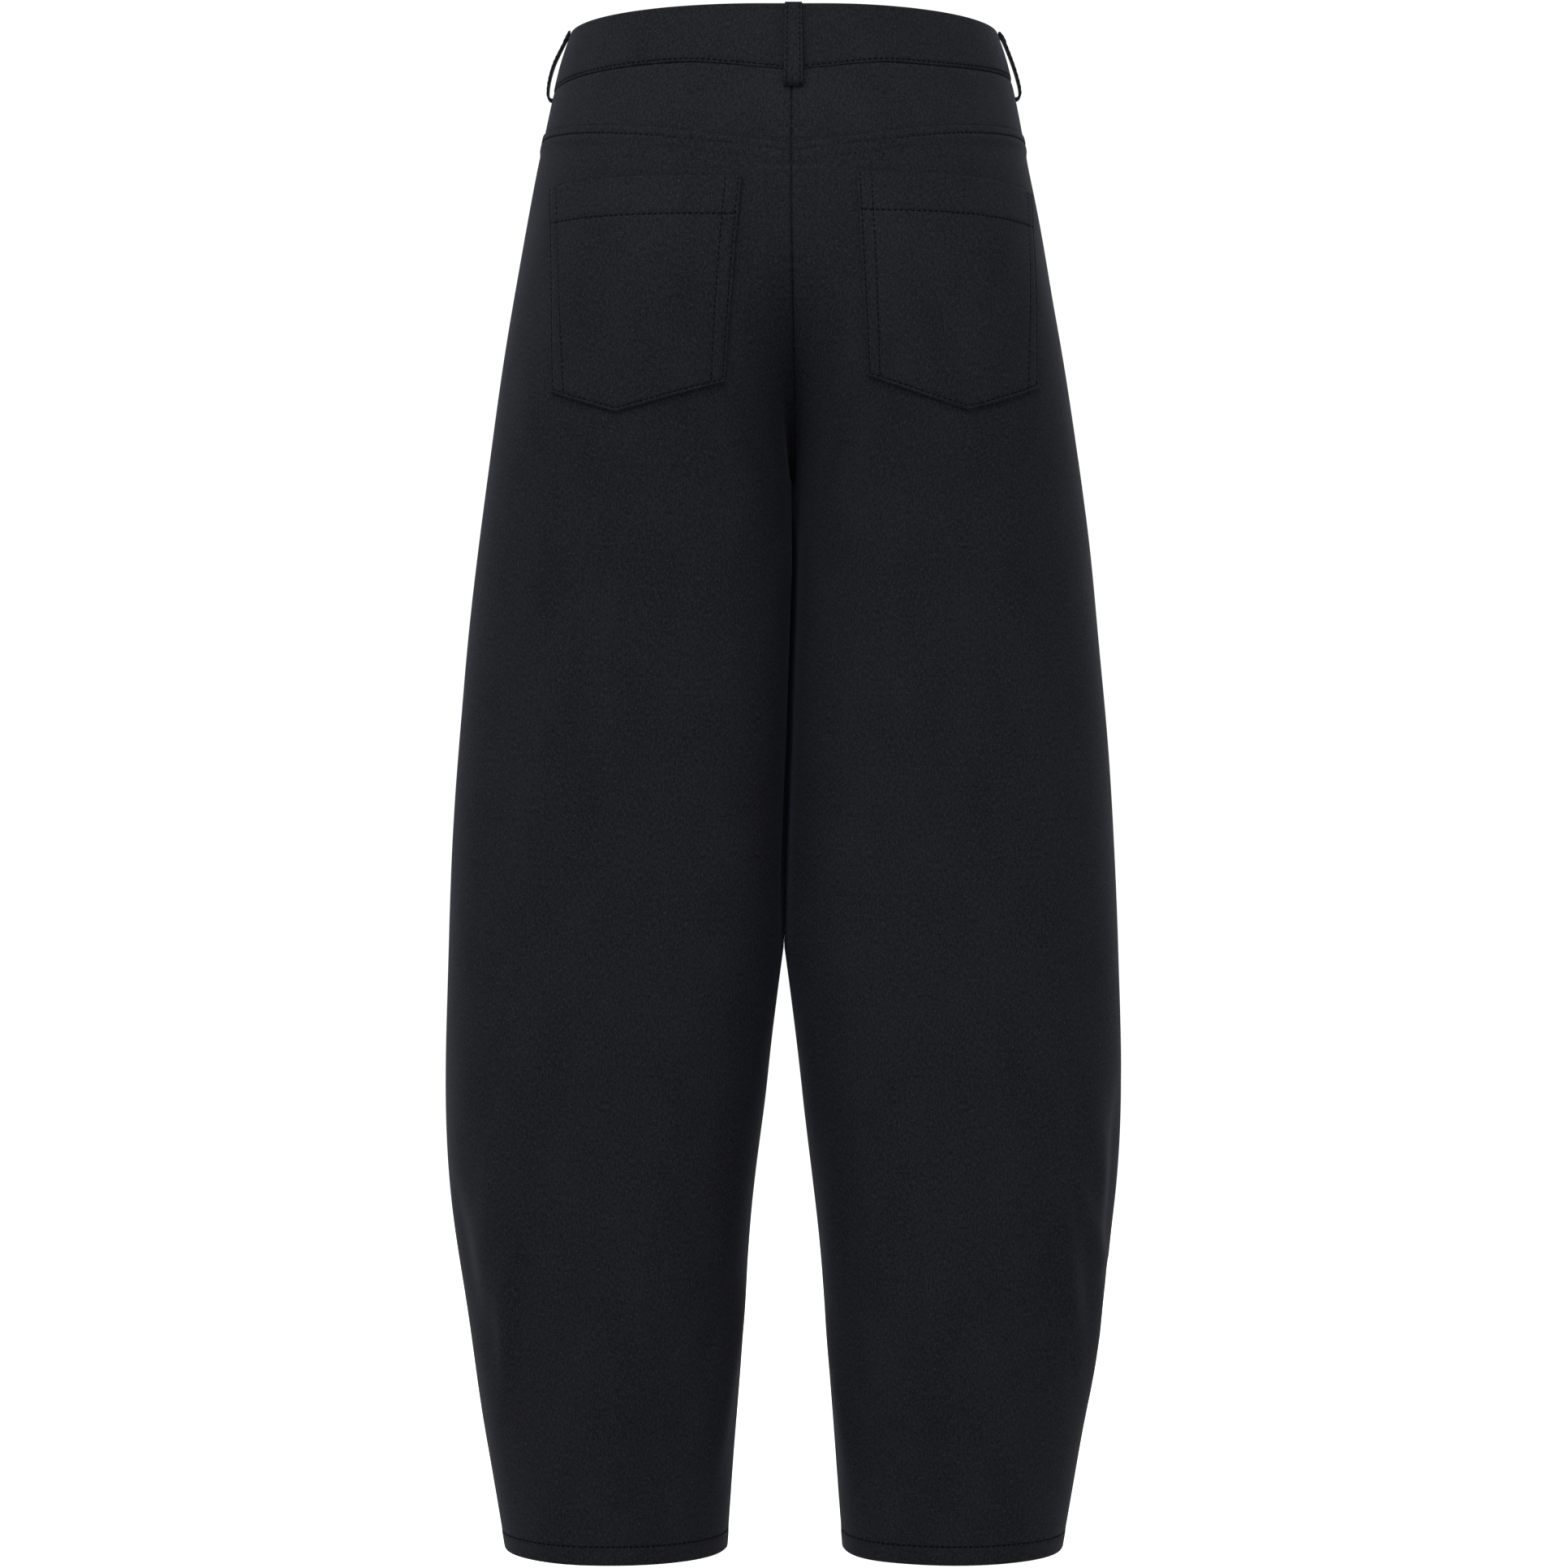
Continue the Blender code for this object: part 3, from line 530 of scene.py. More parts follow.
def share_at(part, x, z):
    """The share of the cloth that lies x from the centre plane at height z, on the plain form. It is found
    by halving the range that holds it."""
    low, high = np.zeros(np.shape(x)), np.ones(np.shape(x))
    for _ in range(40):
        middle = (low + high) / 2
        short = plain_x(part, middle, z) < x
        low = np.where(short, middle, low)
        high = np.where(short, high, middle)
    return (low + high) / 2


def between(first, last, along):
    """The value that lies along the way from first to last."""
    return first + along * (last - first)


def band_foot(half, part, share):
    """The waistband's lower edge: tilted at the sides, a shallow V behind, and a dip to the centre front."""
    toward_side = (share - BAND_FOOT_TILT_FROM) / (1 - BAND_FOOT_TILT_FROM)
    level = BAND_FOOT + BAND_FOOT_TILT[half] * smoothstep(toward_side)
    if part == "front":
        return level - BAND_TOP_FRONT_DIP * smoothstep(1 - share)
    toward_centre = np.clip(1 - plain_x(part, share, BAND_FOOT) / BAND_FOOT_DIP_REACH, 0, 1)
    return level - BAND_FOOT_BACK_DIP * toward_centre**BAND_FOOT_DIP_POWER


def waist_foot(place):
    """The waistband's lower edge, by place round the waist."""
    wrapped = (np.asarray(place, float) + 1) % 2 - 1
    size = np.abs(wrapped)
    foot = {}
    for half in HALVES:
        front = band_foot(half, "front", np.clip(2 * (1 - size), 0, 1))
        back = band_foot(half, "back", np.clip(2 * size, 0, 1))
        foot[half] = np.where(size > 0.5, front, back)
    return np.where(wrapped < 0, foot["left"], foot["right"])


def yoke_foot(share):
    """The yoke seam: straight on the cloth, and lowest at the centre back."""
    return YOKE_FOOT + YOKE_RISE * plain_x("back", share, (YOKE_FOOT + BAND_FOOT) / 2)


# Relief at edges and stitches, as a lift in millimetres for a distance from the edge


def seam_relief(distance):
    """The cloth turns down into a seam, and stands up a little over the turnings pressed beside it."""
    turned = ALLOWANCE_LIFT * (1 - smoothstep((distance - ALLOWANCE) / 4)) * smoothstep(distance / 2.5)
    return turned - SEAM_DIP * bell(distance / SEAM_WIDTH)


def valley_relief(half, run, z):
    """Between the legs, behind: the left leg falls back in a trough and the right one swells a little."""
    depth, place, reach = (
        np.interp(z, VALLEY_TABLE["height"], VALLEY_TABLE[name]) for name in ("depth", "place", "reach")
    )
    if half == "left":
        return depth * bell((run - place) / reach) * smoothstep(run / 8)
    pressed = smoothstep((CROTCH - 10 - z) / 50) * smoothstep((z - VALLEY[-1][0]) / 90)
    return RIGHT_SWELL * pressed * bell((run - RIGHT_SWELL_PLACE) / RIGHT_SWELL_REACH)


def stitch_relief(distance, line):
    """The shallow groove that a row of stitches pulls into the cloth."""
    return -GROOVE * bell((distance - line) / 0.7)


def rounded_edge(distance, thickness):
    """How far a face falls back towards the middle of the wall as it rounds over a folded edge."""
    radius = thickness / 2
    inside = np.clip(1 - distance / radius, 0, 1)
    return radius * (1 - np.sqrt(1 - inside**2))


def edge_grid(length, first_lines, last_lines, middle):
    """Positions from 0 to length: set lines near each end, and an even run of middle steps between.
    length may be an array, and the positions then have one row for each of its values."""
    length = np.atleast_1d(np.asarray(length, float))[:, None]
    start = np.repeat(first_lines[None, :], len(length), axis=0)
    end = length - last_lines[::-1][None, :]
    share = np.linspace(0, 1, middle + 2)[1:-1][None, :]
    between = start[:, -1:] + (end[:, :1] - start[:, -1:]) * share
    return np.concatenate((start, between, end), axis=1)


# Meshes


def grid_faces(rows, across, start=0):
    """Quads of a grid of points, in rows."""
    i, j = np.meshgrid(np.arange(rows - 1), np.arange(across - 1), indexing="ij")
    a = (i * across + j).ravel() + start
    return np.stack((a, a + 1, a + across + 1, a + across), axis=1)


def mesh_object(name, points, quads, uv, finish):
    """One object from points in millimetres, quads and a flat map in metres."""
    mesh = bpy.data.meshes.new(name)
    mesh.vertices.add(len(points))
    mesh.vertices.foreach_set("co", (np.asarray(points) * MM).ravel())
    mesh.loops.add(quads.size)
    mesh.loops.foreach_set("vertex_index", quads.ravel().astype(np.int32))
    mesh.polygons.add(len(quads))
    mesh.polygons.foreach_set("loop_start", np.arange(0, quads.size, 4, dtype=np.int32))
    layer = mesh.uv_layers.new(name="flat")
    layer.data.foreach_set("uv", uv[quads.ravel()].ravel())
    mesh.update(calc_edges=True)
    mesh.validate()
    mesh.shade_smooth()
    mesh.set_sharp_from_angle(angle=math.radians(50))
    mesh.materials.append(finish)
    made = bpy.data.objects.new(name, mesh)
    bpy.context.scene.collection.objects.link(made)
    return made


def shell(name, outer, inner, flat, finish):
    """A closed sheet between two grids: the grids' quads, and a strip of quads round the rim. The faces are
    turned so that the outer grid's point away from the inner one."""
    rows, across = outer.shape[:2]
    count = rows * across
    face = grid_faces(rows, across)
    rim = np.concatenate((
        np.arange(across - 1),
        np.arange(rows - 1) * across + across - 1,
        (rows - 1) * across + np.arange(across - 1, 0, -1),
        np.arange(rows - 1, 0, -1) * across,
    ))
    following = np.roll(rim, -1)
    side = np.stack((following, rim, rim + count, following + count), axis=1)
    quads = np.concatenate((face, face[:, ::-1] + count, side))
    turn = np.cross(outer[:-1, 1:] - outer[:-1, :-1], outer[1:, :-1] - outer[:-1, :-1])
    if np.sum(turn * (outer - inner)[:-1, :-1]) < 0:
        quads = quads[:, ::-1]
    points = np.concatenate((outer.reshape(-1, 3), inner.reshape(-1, 3)))
    uv = np.concatenate((flat.reshape(-1, 2), flat.reshape(-1, 2) + 0.35))
    return mesh_object(name, points, quads, uv, finish)


def declare_sheet(piece, node):
    """Rides the root body and replaces the node, which it hides."""
    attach(piece, "root")
    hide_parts(node)


def sweep(name, rings, uv, finish):
    """A closed body through rings of points, each ring a closed loop, with its ends drawn to a point."""
    count, around = rings.shape[:2]
    first = rings[0].mean(axis=0)
    last = rings[-1].mean(axis=0)
    i, j = np.meshgrid(np.arange(count - 1), np.arange(around), indexing="ij")
    a = (i * around + j).ravel()
    b = (i * around + (j + 1) % around).ravel()
    sides = np.stack((a, b, b + around, a + around), axis=1)
    points = np.concatenate((rings.reshape(-1, 3), first[None], last[None]))
    base = count * around
    half = np.arange(0, around, 2)
    cap_one = np.stack((np.full(len(half), base), (half + 2) % around, half + 1, half), axis=1)
    top = (count - 1) * around
    cap_two = np.stack((np.full(len(half), base + 1), top + half, top + half + 1, top + (half + 2) % around), axis=1)
    quads = np.concatenate((sides, cap_one, cap_two))
    spin = np.cross(rings[0, 1] - rings[0, 0], rings[1, 0] - rings[0, 0])
    if np.dot(spin, rings[0, 0] - first) < 0:
        quads = quads[:, ::-1]
    flat = np.concatenate((uv.reshape(-1, 2), uv.reshape(-1, 2)[:2]))
    return mesh_object(name, points, quads, flat, finish)


# Materials


def link(tree, source, output, target, socket):
    tree.links.new(source.outputs[output], target.inputs[socket])


def math_node(tree, operation, first, second=None):
    node = tree.nodes.new("ShaderNodeMath")
    node.operation = operation
    for index, value in enumerate((first, second)):
        if value is None:
            continue
        if isinstance(value, (int, float)):
            node.inputs[index].default_value = value
        else:
            tree.links.new(value, node.inputs[index])
    return node.outputs[0]


def stretched_noise(tree, vector, scale, stretch, detail, roughness=0.5):
    """Noise over the flat cloth, its cells stretched by stretch along the two flat directions."""
    mapping = tree.nodes.new("ShaderNodeMapping")
    mapping.inputs["Scale"].default_value = (stretch[0], stretch[1], 1.0)
    mapping.inputs["Rotation"].default_value = (0.0, 0.0, stretch[2])
    tree.links.new(vector, mapping.inputs["Vector"])
    noise = tree.nodes.new("ShaderNodeTexNoise")
    noise.noise_dimensions = "2D"
    noise.inputs["Scale"].default_value = scale
    noise.inputs["Detail"].default_value = detail
    noise.inputs["Roughness"].default_value = roughness
    link(tree, mapping, "Vector", noise, "Vector")
    return noise.outputs["Fac"]


def above(tree, value, low, high):
    """0 below low, 1 above high, and smooth between."""
    node = tree.nodes.new("ShaderNodeMapRange")
    node.interpolation_type = "SMOOTHSTEP"
    node.inputs["From Min"].default_value = low
    node.inputs["From Max"].default_value = high
    tree.links.new(value, node.inputs["Value"])
    return node.outputs["Result"]


def twill_group():
    """Brushed twill over a flat map in metres: slanted wales under a nap of short fibres.
    Tone is the cloudy light and dark of the nap, Flecks the pale fibres, and Height the weave's relief."""
    name = "brushed twill"
    if name in bpy.data.node_groups:
        return bpy.data.node_groups[name]
    tree = bpy.data.node_groups.new(name, "ShaderNodeTree")
    face = tree.interface
    face.new_socket("Flat", in_out="INPUT", socket_type="NodeSocketVector")
    wale = face.new_socket("Wale Spacing", in_out="INPUT", socket_type="NodeSocketFloat")
    wale.default_value = 0.0011
    nap = face.new_socket("Nap", in_out="INPUT", socket_type="NodeSocketFloat")
    nap.default_value = 1.0
    for output in ("Tone", "Flecks", "Height"):
        face.new_socket(output, in_out="OUTPUT", socket_type="NodeSocketFloat")
    source = tree.nodes.new("NodeGroupInput")
    target = tree.nodes.new("NodeGroupOutput")
    flat = source.outputs["Flat"]

    split = tree.nodes.new("ShaderNodeSeparateXYZ")
    tree.links.new(flat, split.inputs[0])
    drift = stretched_noise(tree, flat, 160.0, (1.0, 1.0, 0.0), 2.0)
    slant = math_node(tree, "ADD", split.outputs["X"], math_node(tree, "MULTIPLY", split.outputs["Y"], 0.62))
    slant = math_node(tree, "ADD", slant, math_node(tree, "MULTIPLY", drift, 0.0006))
    turns = math_node(tree, "DIVIDE", slant, source.outputs["Wale Spacing"])
    wales = math_node(tree, "SINE", math_node(tree, "MULTIPLY", turns, 2 * math.pi))

    clouds = stretched_noise(tree, flat, 26.0, (1.0, 0.55, 0.0), 4.0, 0.6)
    grain = stretched_noise(tree, flat, 760.0, (1.0, 0.5, 0.0), 3.0, 0.65)
    speckle = stretched_noise(tree, flat, 1500.0, (1.0, 0.7, 0.2), 3.0, 0.8)
    tone = math_node(tree, "ADD", math_node(tree, "MULTIPLY", clouds, 0.12), math_node(tree, "MULTIPLY", grain, 0.38))
    tone = math_node(tree, "ADD", tone, math_node(tree, "MULTIPLY", speckle, 0.50))
    tree.links.new(tone, target.inputs["Tone"])

    upright = above(tree, stretched_noise(tree, flat, 1500.0, (1.0, 0.30, 0.2), 2.0, 0.55), 0.60, 0.74)
    leaning = above(tree, stretched_noise(tree, flat, 1300.0, (0.4, 1.0, 0.7), 2.0, 0.55), 0.66, 0.78)
    flecks = math_node(tree, "MAXIMUM", upright, leaning)
    flecks = math_node(tree, "MULTIPLY", flecks, source.outputs["Nap"])
    tree.links.new(flecks, target.inputs["Flecks"])

    height = math_node(tree, "MULTIPLY", wales, 0.16)
    height = math_node(tree, "ADD", height, math_node(tree, "MULTIPLY", speckle, 0.55))
    height = math_node(tree, "ADD", height, math_node(tree, "MULTIPLY", grain, 0.35))
    height = math_node(tree, "ADD", height, math_node(tree, "MULTIPLY", flecks, 0.5))
    tree.links.new(height, target.inputs["Height"])
    return tree


def mix_colour(tree, share, low, high):
    node = tree.nodes.new("ShaderNodeMix")
    node.data_type = "RGBA"
    tree.links.new(share, node.inputs["Factor"])
    for socket, value in ((node.inputs["A"], low), (node.inputs["B"], high)):
        if isinstance(value, (tuple, list)):
            socket.default_value = (*value[:3], 1.0)
        else:
            tree.links.new(value, socket)
    return node.outputs["Result"]


def cloth_material(name, colours, wale, nap):
    """Matte wool twill: dark yarn, a cloudy nap, pale fibres, and a sheen at grazing angles."""
    made = bpy.data.materials.new(name)
    made.use_nodes = True
    tree = made.node_tree
    shader = tree.nodes["Principled BSDF"]
    shader.inputs["Roughness"].default_value = 0.92
    shader.inputs["Specular IOR Level"].default_value = 0.05
    shader.inputs["Sheen Weight"].default_value = 0.018
    shader.inputs["Sheen Roughness"].default_value = 0.32
    shader.inputs["Sheen Tint"].default_value = (*colours.sheen_colour, 1.0)
    uv = tree.nodes.new("ShaderNodeUVMap")
    uv.uv_map = "flat"
    weave = tree.nodes.new("ShaderNodeGroup")
    weave.node_tree = twill_group()
    weave.inputs["Wale Spacing"].default_value = wale
    weave.inputs["Nap"].default_value = nap
    link(tree, uv, "UV", weave, "Flat")
    tone = above(tree, weave.outputs["Tone"], 0.37, 0.63)
    dark = tuple(channel * 0.40 for channel in colours.cloth_colour)
    light = tuple(channel * 1.60 for channel in colours.cloth_colour)
    colour = mix_colour(tree, tone, dark, light)
    colour = mix_colour(tree, weave.outputs["Flecks"], colour, tuple(colours.fleck_colour))
    tree.links.new(colour, shader.inputs["Base Color"])
    bump = tree.nodes.new("ShaderNodeBump")
    bump.inputs["Strength"].default_value = 0.45
    bump.inputs["Distance"].default_value = 0.0004
    link(tree, weave, "Height", bump, "Height")
    link(tree, bump, "Normal", shader, "Normal")
    return made


def thread_material(name, colours):
    """Twisted thread: a slanted ply twist in the bump, with painted shade in the grooves of the twist and painted
    light on its ridges.
    """
    made = bpy.data.materials.new(name)
    made.use_nodes = True
    tree = made.node_tree
    shader = tree.nodes["Principled BSDF"]
    shader.inputs["Roughness"].default_value = 0.85
    shader.inputs["Specular IOR Level"].default_value = 0.02
    uv = tree.nodes.new("ShaderNodeUVMap")
    uv.uv_map = "flat"
    split = tree.nodes.new("ShaderNodeSeparateXYZ")
    link(tree, uv, "UV", split, 0)
    slant = math_node(tree, "ADD", split.outputs["X"], split.outputs["Y"])
    ply_relief_and_painted_shade = math_node(tree, "SINE", math_node(tree, "MULTIPLY", slant, 2 * math.pi / 0.0007))
    ply_relief_and_painted_shade = above(tree, ply_relief_and_painted_shade, -1.0, 1.0)
    # painted shade: the grooves of the twist are coloured darker, and the ridges keep the thread colour as painted
    # light
    dark = tuple(channel * 0.55 for channel in colours.thread_colour_with_painted_shade)
    colour = mix_colour(tree, ply_relief_and_painted_shade, dark, tuple(colours.thread_colour_with_painted_shade))
    tree.links.new(colour, shader.inputs["Base Color"])
    bump = tree.nodes.new("ShaderNodeBump")
    bump.inputs["Strength"].default_value = 0.5
    bump.inputs["Distance"].default_value = 0.0001
    tree.links.new(ply_relief_and_painted_shade, bump.inputs["Height"])
    link(tree, bump, "Normal", shader, "Normal")
    return made


def button_material(name, colours):
    """Dark horn: faint streaks along the blank, polished on top and duller in the streaks."""
    made = bpy.data.materials.new(name)
    made.use_nodes = True
    tree = made.node_tree
    shader = tree.nodes["Principled BSDF"]
    shader.inputs["Coat Weight"].default_value = 0.3
    shader.inputs["Coat Roughness"].default_value = 0.15
    uv = tree.nodes.new("ShaderNodeUVMap")
    uv.uv_map = "flat"
    streaks = stretched_noise(tree, uv.outputs["UV"], 90.0, (1.0, 8.0, 0.3), 5.0, 0.6)
    streaks = above(tree, streaks, 0.35, 0.7)
    light = tuple(min(channel * 2.6 + 0.004, 1) for channel in colours.button_colour)
    colour = mix_colour(tree, streaks, tuple(colours.button_colour), light)
    tree.links.new(colour, shader.inputs["Base Color"])
    rough = math_node(tree, "ADD", math_node(tree, "MULTIPLY", streaks, 0.2), 0.28)
    tree.links.new(rough, shader.inputs["Roughness"])
    return made


def finish(name):
    """A material by name, made the first time that a piece asks for it."""
    if name in bpy.data.materials:
        return bpy.data.materials[name]
    colours = bpy.context.scene.trouser_colours
    if name == "sewing thread with painted shade":
        return thread_material(name, colours)
    if name == "dark horn":
        return button_material(name, colours)
    wale = 0.00115 if name == "leg twill" else 0.00105
    nap = 1.0 if name == "leg twill" else 0.85
    return cloth_material(name, colours, wale, nap)


# Pieces of cloth


def settled(top, drop):
    """Heights at the distances drop below a curved top edge. The curve fades out as the rows go down."""
    level = float(np.mean(top))
    kept = 1 - smoothstep((drop - 22) / 170)
    return level + (top[None, :] - level) * kept[:, None] - drop[:, None]


def panel_columns(part, z, lines):
    """Distances across a panel from its inner seam, and shares, with more of them near both seams."""
    length = cloth_length(part, z)
    run = edge_grid(length, lines, lines, PANEL_COLUMNS)
    return run / length[:, None], run, length


def leg_panel(half, part):
    """One front or back of a leg. The outer face is the form, plus the relief of its seams, its turned-up hem
    and, in front, the fly's lap. Behind, its top edge is folded and laps over the yoke. The inner face lies
    one cloth thickness in, or two behind the hem."""
    even = np.linspace(0, 1, PANEL_COLUMNS + 2 * len(SIDE_LINES))
    top = band_foot(half, "front", even) + TURN_UP if part == "front" else yoke_foot(even)
    reach = float(np.mean(top)) - HEM
    drop = edge_grid(reach, EDGE_LINES, HEM_LINES, int(reach / GRID))[0]
    z = settled(top, drop)
    share, run, length = panel_columns(part, z.mean(axis=1), SIDE_LINES)
    from_side = np.minimum(run, length[:, None] - run)
    from_top = np.repeat(drop[:, None], run.shape[1], axis=1)
    from_hem = np.maximum(z - HEM, 0)

    relief = seam_relief(from_side) * (1 - (run < length[:, None] / 2) * legs_meet(z))
    if part == "back":
        relief = relief + valley_relief(half, run, z)
        lap = YOKE_LAP * (1 - smoothstep((from_top - ALLOWANCE + 1) / 5))
        relief = relief + lap + stitch_relief(from_top, YOKE_STITCH) - rounded_edge(from_top, CLOTH)
    else:
        relief = relief - BAND_DIP * bell(from_top / BAND_DIP_WIDTH)
        if half == "left":
            lap = (1 - smoothstep((run - 14) / 26)) * smoothstep((z - FLY_FOOT) / 12)
            relief = relief + lap * (0.9 + (SEAM_DIP + 0.1) * bell(run / SEAM_WIDTH))
    relief = relief + 0.28 * (1 - smoothstep((from_hem - HEM_DEPTH) / 2.5)) + stitch_relief(from_hem, HEM_DEPTH)
    hem_round = rounded_edge(from_hem, 2 * CLOTH + 0.4)
    doubled = CLOTH * (1 - smoothstep((from_hem - HEM_DEPTH) / 0.8))

    outer = cloth(half, part, share, z, relief - hem_round)
    inner = cloth(half, part, share, z, np.minimum(-CLOTH - doubled + hem_round, relief - hem_round - 0.4))
    flat = np.stack((run - length[:, None] / 2, z), axis=-1) * MM
    name = f"{part}_leg_{half}"
    piece = shell(f"{name}_cloth", outer, inner, flat, finish("leg twill"))
    declare_sheet(piece, name)


def back_yoke(half):
    """The strip between the waistband and the back leg. It turns in at the waistband and at the centre, and
    runs flat under the lap of the leg."""
    even = np.linspace(0, 1, PANEL_COLUMNS + 2 * len(SIDE_LINES))
    top = band_foot(half, "back", even) + TURN_UP
    foot = yoke_foot(even)
    lines = EDGE_LINES[:6]
    depth = edge_grid(float(np.mean(top - foot)), lines, lines, 14)[0]
    down = depth / depth[-1]
    z = top[None, :] + (foot - top)[None, :] * down[:, None]
    share, run, length = panel_columns("back", z.mean(axis=1), SIDE_LINES)
    from_side = np.minimum(run, length[:, None] - run)
    from_foot = np.repeat((depth[-1] - depth)[:, None], run.shape[1], axis=1)
    from_top = np.repeat(depth[:, None], run.shape[1], axis=1)
    relief = seam_relief(from_side) - 0.25 * bell(from_foot / 1.2) - BAND_DIP * bell(from_top / BAND_DIP_WIDTH)
    outer = cloth(half, "back", share, z, relief)
    inner = cloth(half, "back", share, z, np.minimum(-CLOTH, relief - 0.4))
    flat = np.stack((run - length[:, None] / 2, z), axis=-1) * MM + 1.0
    name = f"back_yoke_{half}"
    piece = shell(f"{name}_cloth", outer, inner, flat, finish("leg twill"))
    declare_sheet(piece, name)


def band_profile(place):
    """How far out the waistband's outer face lies, by place: the under end tucks below the over end."""
    from_front = (1 - place) * waist_length() / 2
    return BAND_PROUD - TUCK * smoothstep((TUCK_TO - from_front) / (TUCK_TO - TUCK_FROM))


def waistband():
    """The waistband goes once round the waist and past itself at the front. Its top is a soft fold, and its
    lower edge rounds over just below a row of stitches."""
    length = waist_length() / 2
    over, under = 1 + OVER_END / length, 1 + UNDER_END / length
    ends = np.array((0.0, 0.4, 1.0, 2.0, 4.0)) / length
    place = edge_grid(over + under, ends, ends, 190)[0] - over
    top = band_top(place)
    foot = waist_foot(place)
    top_lines = np.array((0.0, 0.2, 0.6, 1.2, 2.2))
    foot_lines = np.array((0.0, 0.25, 0.6, 1.1, 1.45, 1.8, 2.15, 2.6, 3.6, 5.0))
    depth = edge_grid(float(np.mean(top - foot)), top_lines, foot_lines, 9)[0]
    down = depth / depth[-1]
    z = top[None, :] + (foot - top)[None, :] * down[:, None]
    places = np.repeat(place[None, :], len(down), axis=0)
    from_top = np.repeat(depth[:, None], len(place), axis=1)
    from_foot = depth[-1] - from_top
    from_end = np.minimum(place + over, under - place)[None, :] * length + 0 * from_top
    proud = band_profile(place)[None, :]
    edge = np.minimum(np.minimum(from_top, from_foot), from_end)
    rounding = rounded_edge(edge, BAND_CLOTH)
    swell = 0.35 * np.sin(math.pi * np.clip(down, 0, 1))[:, None]
    pucker = 0.10 * np.sin(places * length * 2 * math.pi / 9.3) * bell((from_foot - 4) / 4)
    relief = stitch_relief(from_foot, BAND_STITCH) + swell + pucker
    outer = waist(places, z, proud + relief - rounding)
    inner = waist(places, z, proud - BAND_CLOTH + rounding)
    flat = np.stack((places * length, z), axis=-1) * MM + 2.0
    piece = shell("waistband_cloth", outer, inner, flat, finish("band twill"))
    declare_sheet(piece, "waistband")


class Pocket:
    """Where a patch pocket's points lie. side is 0 on its inner edge and 1 on its outer edge, and drop is 0
    along its top and 1 along its pointed foot. Its sides are straight as seen from behind."""

    def __init__(self, half):
        self.half = half
        self.x, self.level = {}, {}
        for row in CORNERS:
            corner = dict(zip(CORNER_COLUMNS, row))
            if corner["half"] == half:
                self.x[corner["corner"]] = corner["from_centre"]
                self.level[corner["corner"]] = corner["height"]
        inner, outer = self.edge("inner", np.array(1.0)), self.edge("outer", np.array(1.0))
        tip = share_at("back", np.array(self.x["tip"]), self.level["tip"])
        self.tip = float((tip - inner) / (outer - inner))
        self.width = float(self.wide(np.array(0.5)))
        self.height = self.level["inner_top"] - self.level["inner_foot"]

    def edge(self, name, drop):
        """The share of the cloth at a side edge."""
        x = between(self.x[f"{name}_top"], self.x[f"{name}_foot"], drop)
        return share_at("back", x, between(self.level[f"{name}_top"], self.level[f"{name}_foot"], drop))

    def wide(self, drop):
        """The pocket's width along the cloth."""
        z = between(self.level["inner_top"], self.level["inner_foot"], drop)
        return (self.edge("outer", drop) - self.edge("inner", drop)) * cloth_length("back", z)

    def top(self, side):
        return between(self.level["inner_top"], self.level["outer_top"], side)

    def foot(self, side):
        level = self.level
        return np.interp(side, (0, self.tip, 1), (level["inner_foot"], level["tip"], level["outer_foot"]))

    def point(self, side, drop, out):
        share = between(self.edge("inner", drop), self.edge("outer", drop), side)
        return cloth(self.half, "back", share, between(self.top(side), self.foot(side), drop), out)


def hem_lift(from_top):
    """How much thicker a pocket is at its doubled hem."""
    return POCKET_HEM_LIFT * (1 - smoothstep((from_top - POCKET_HEM) / 2))


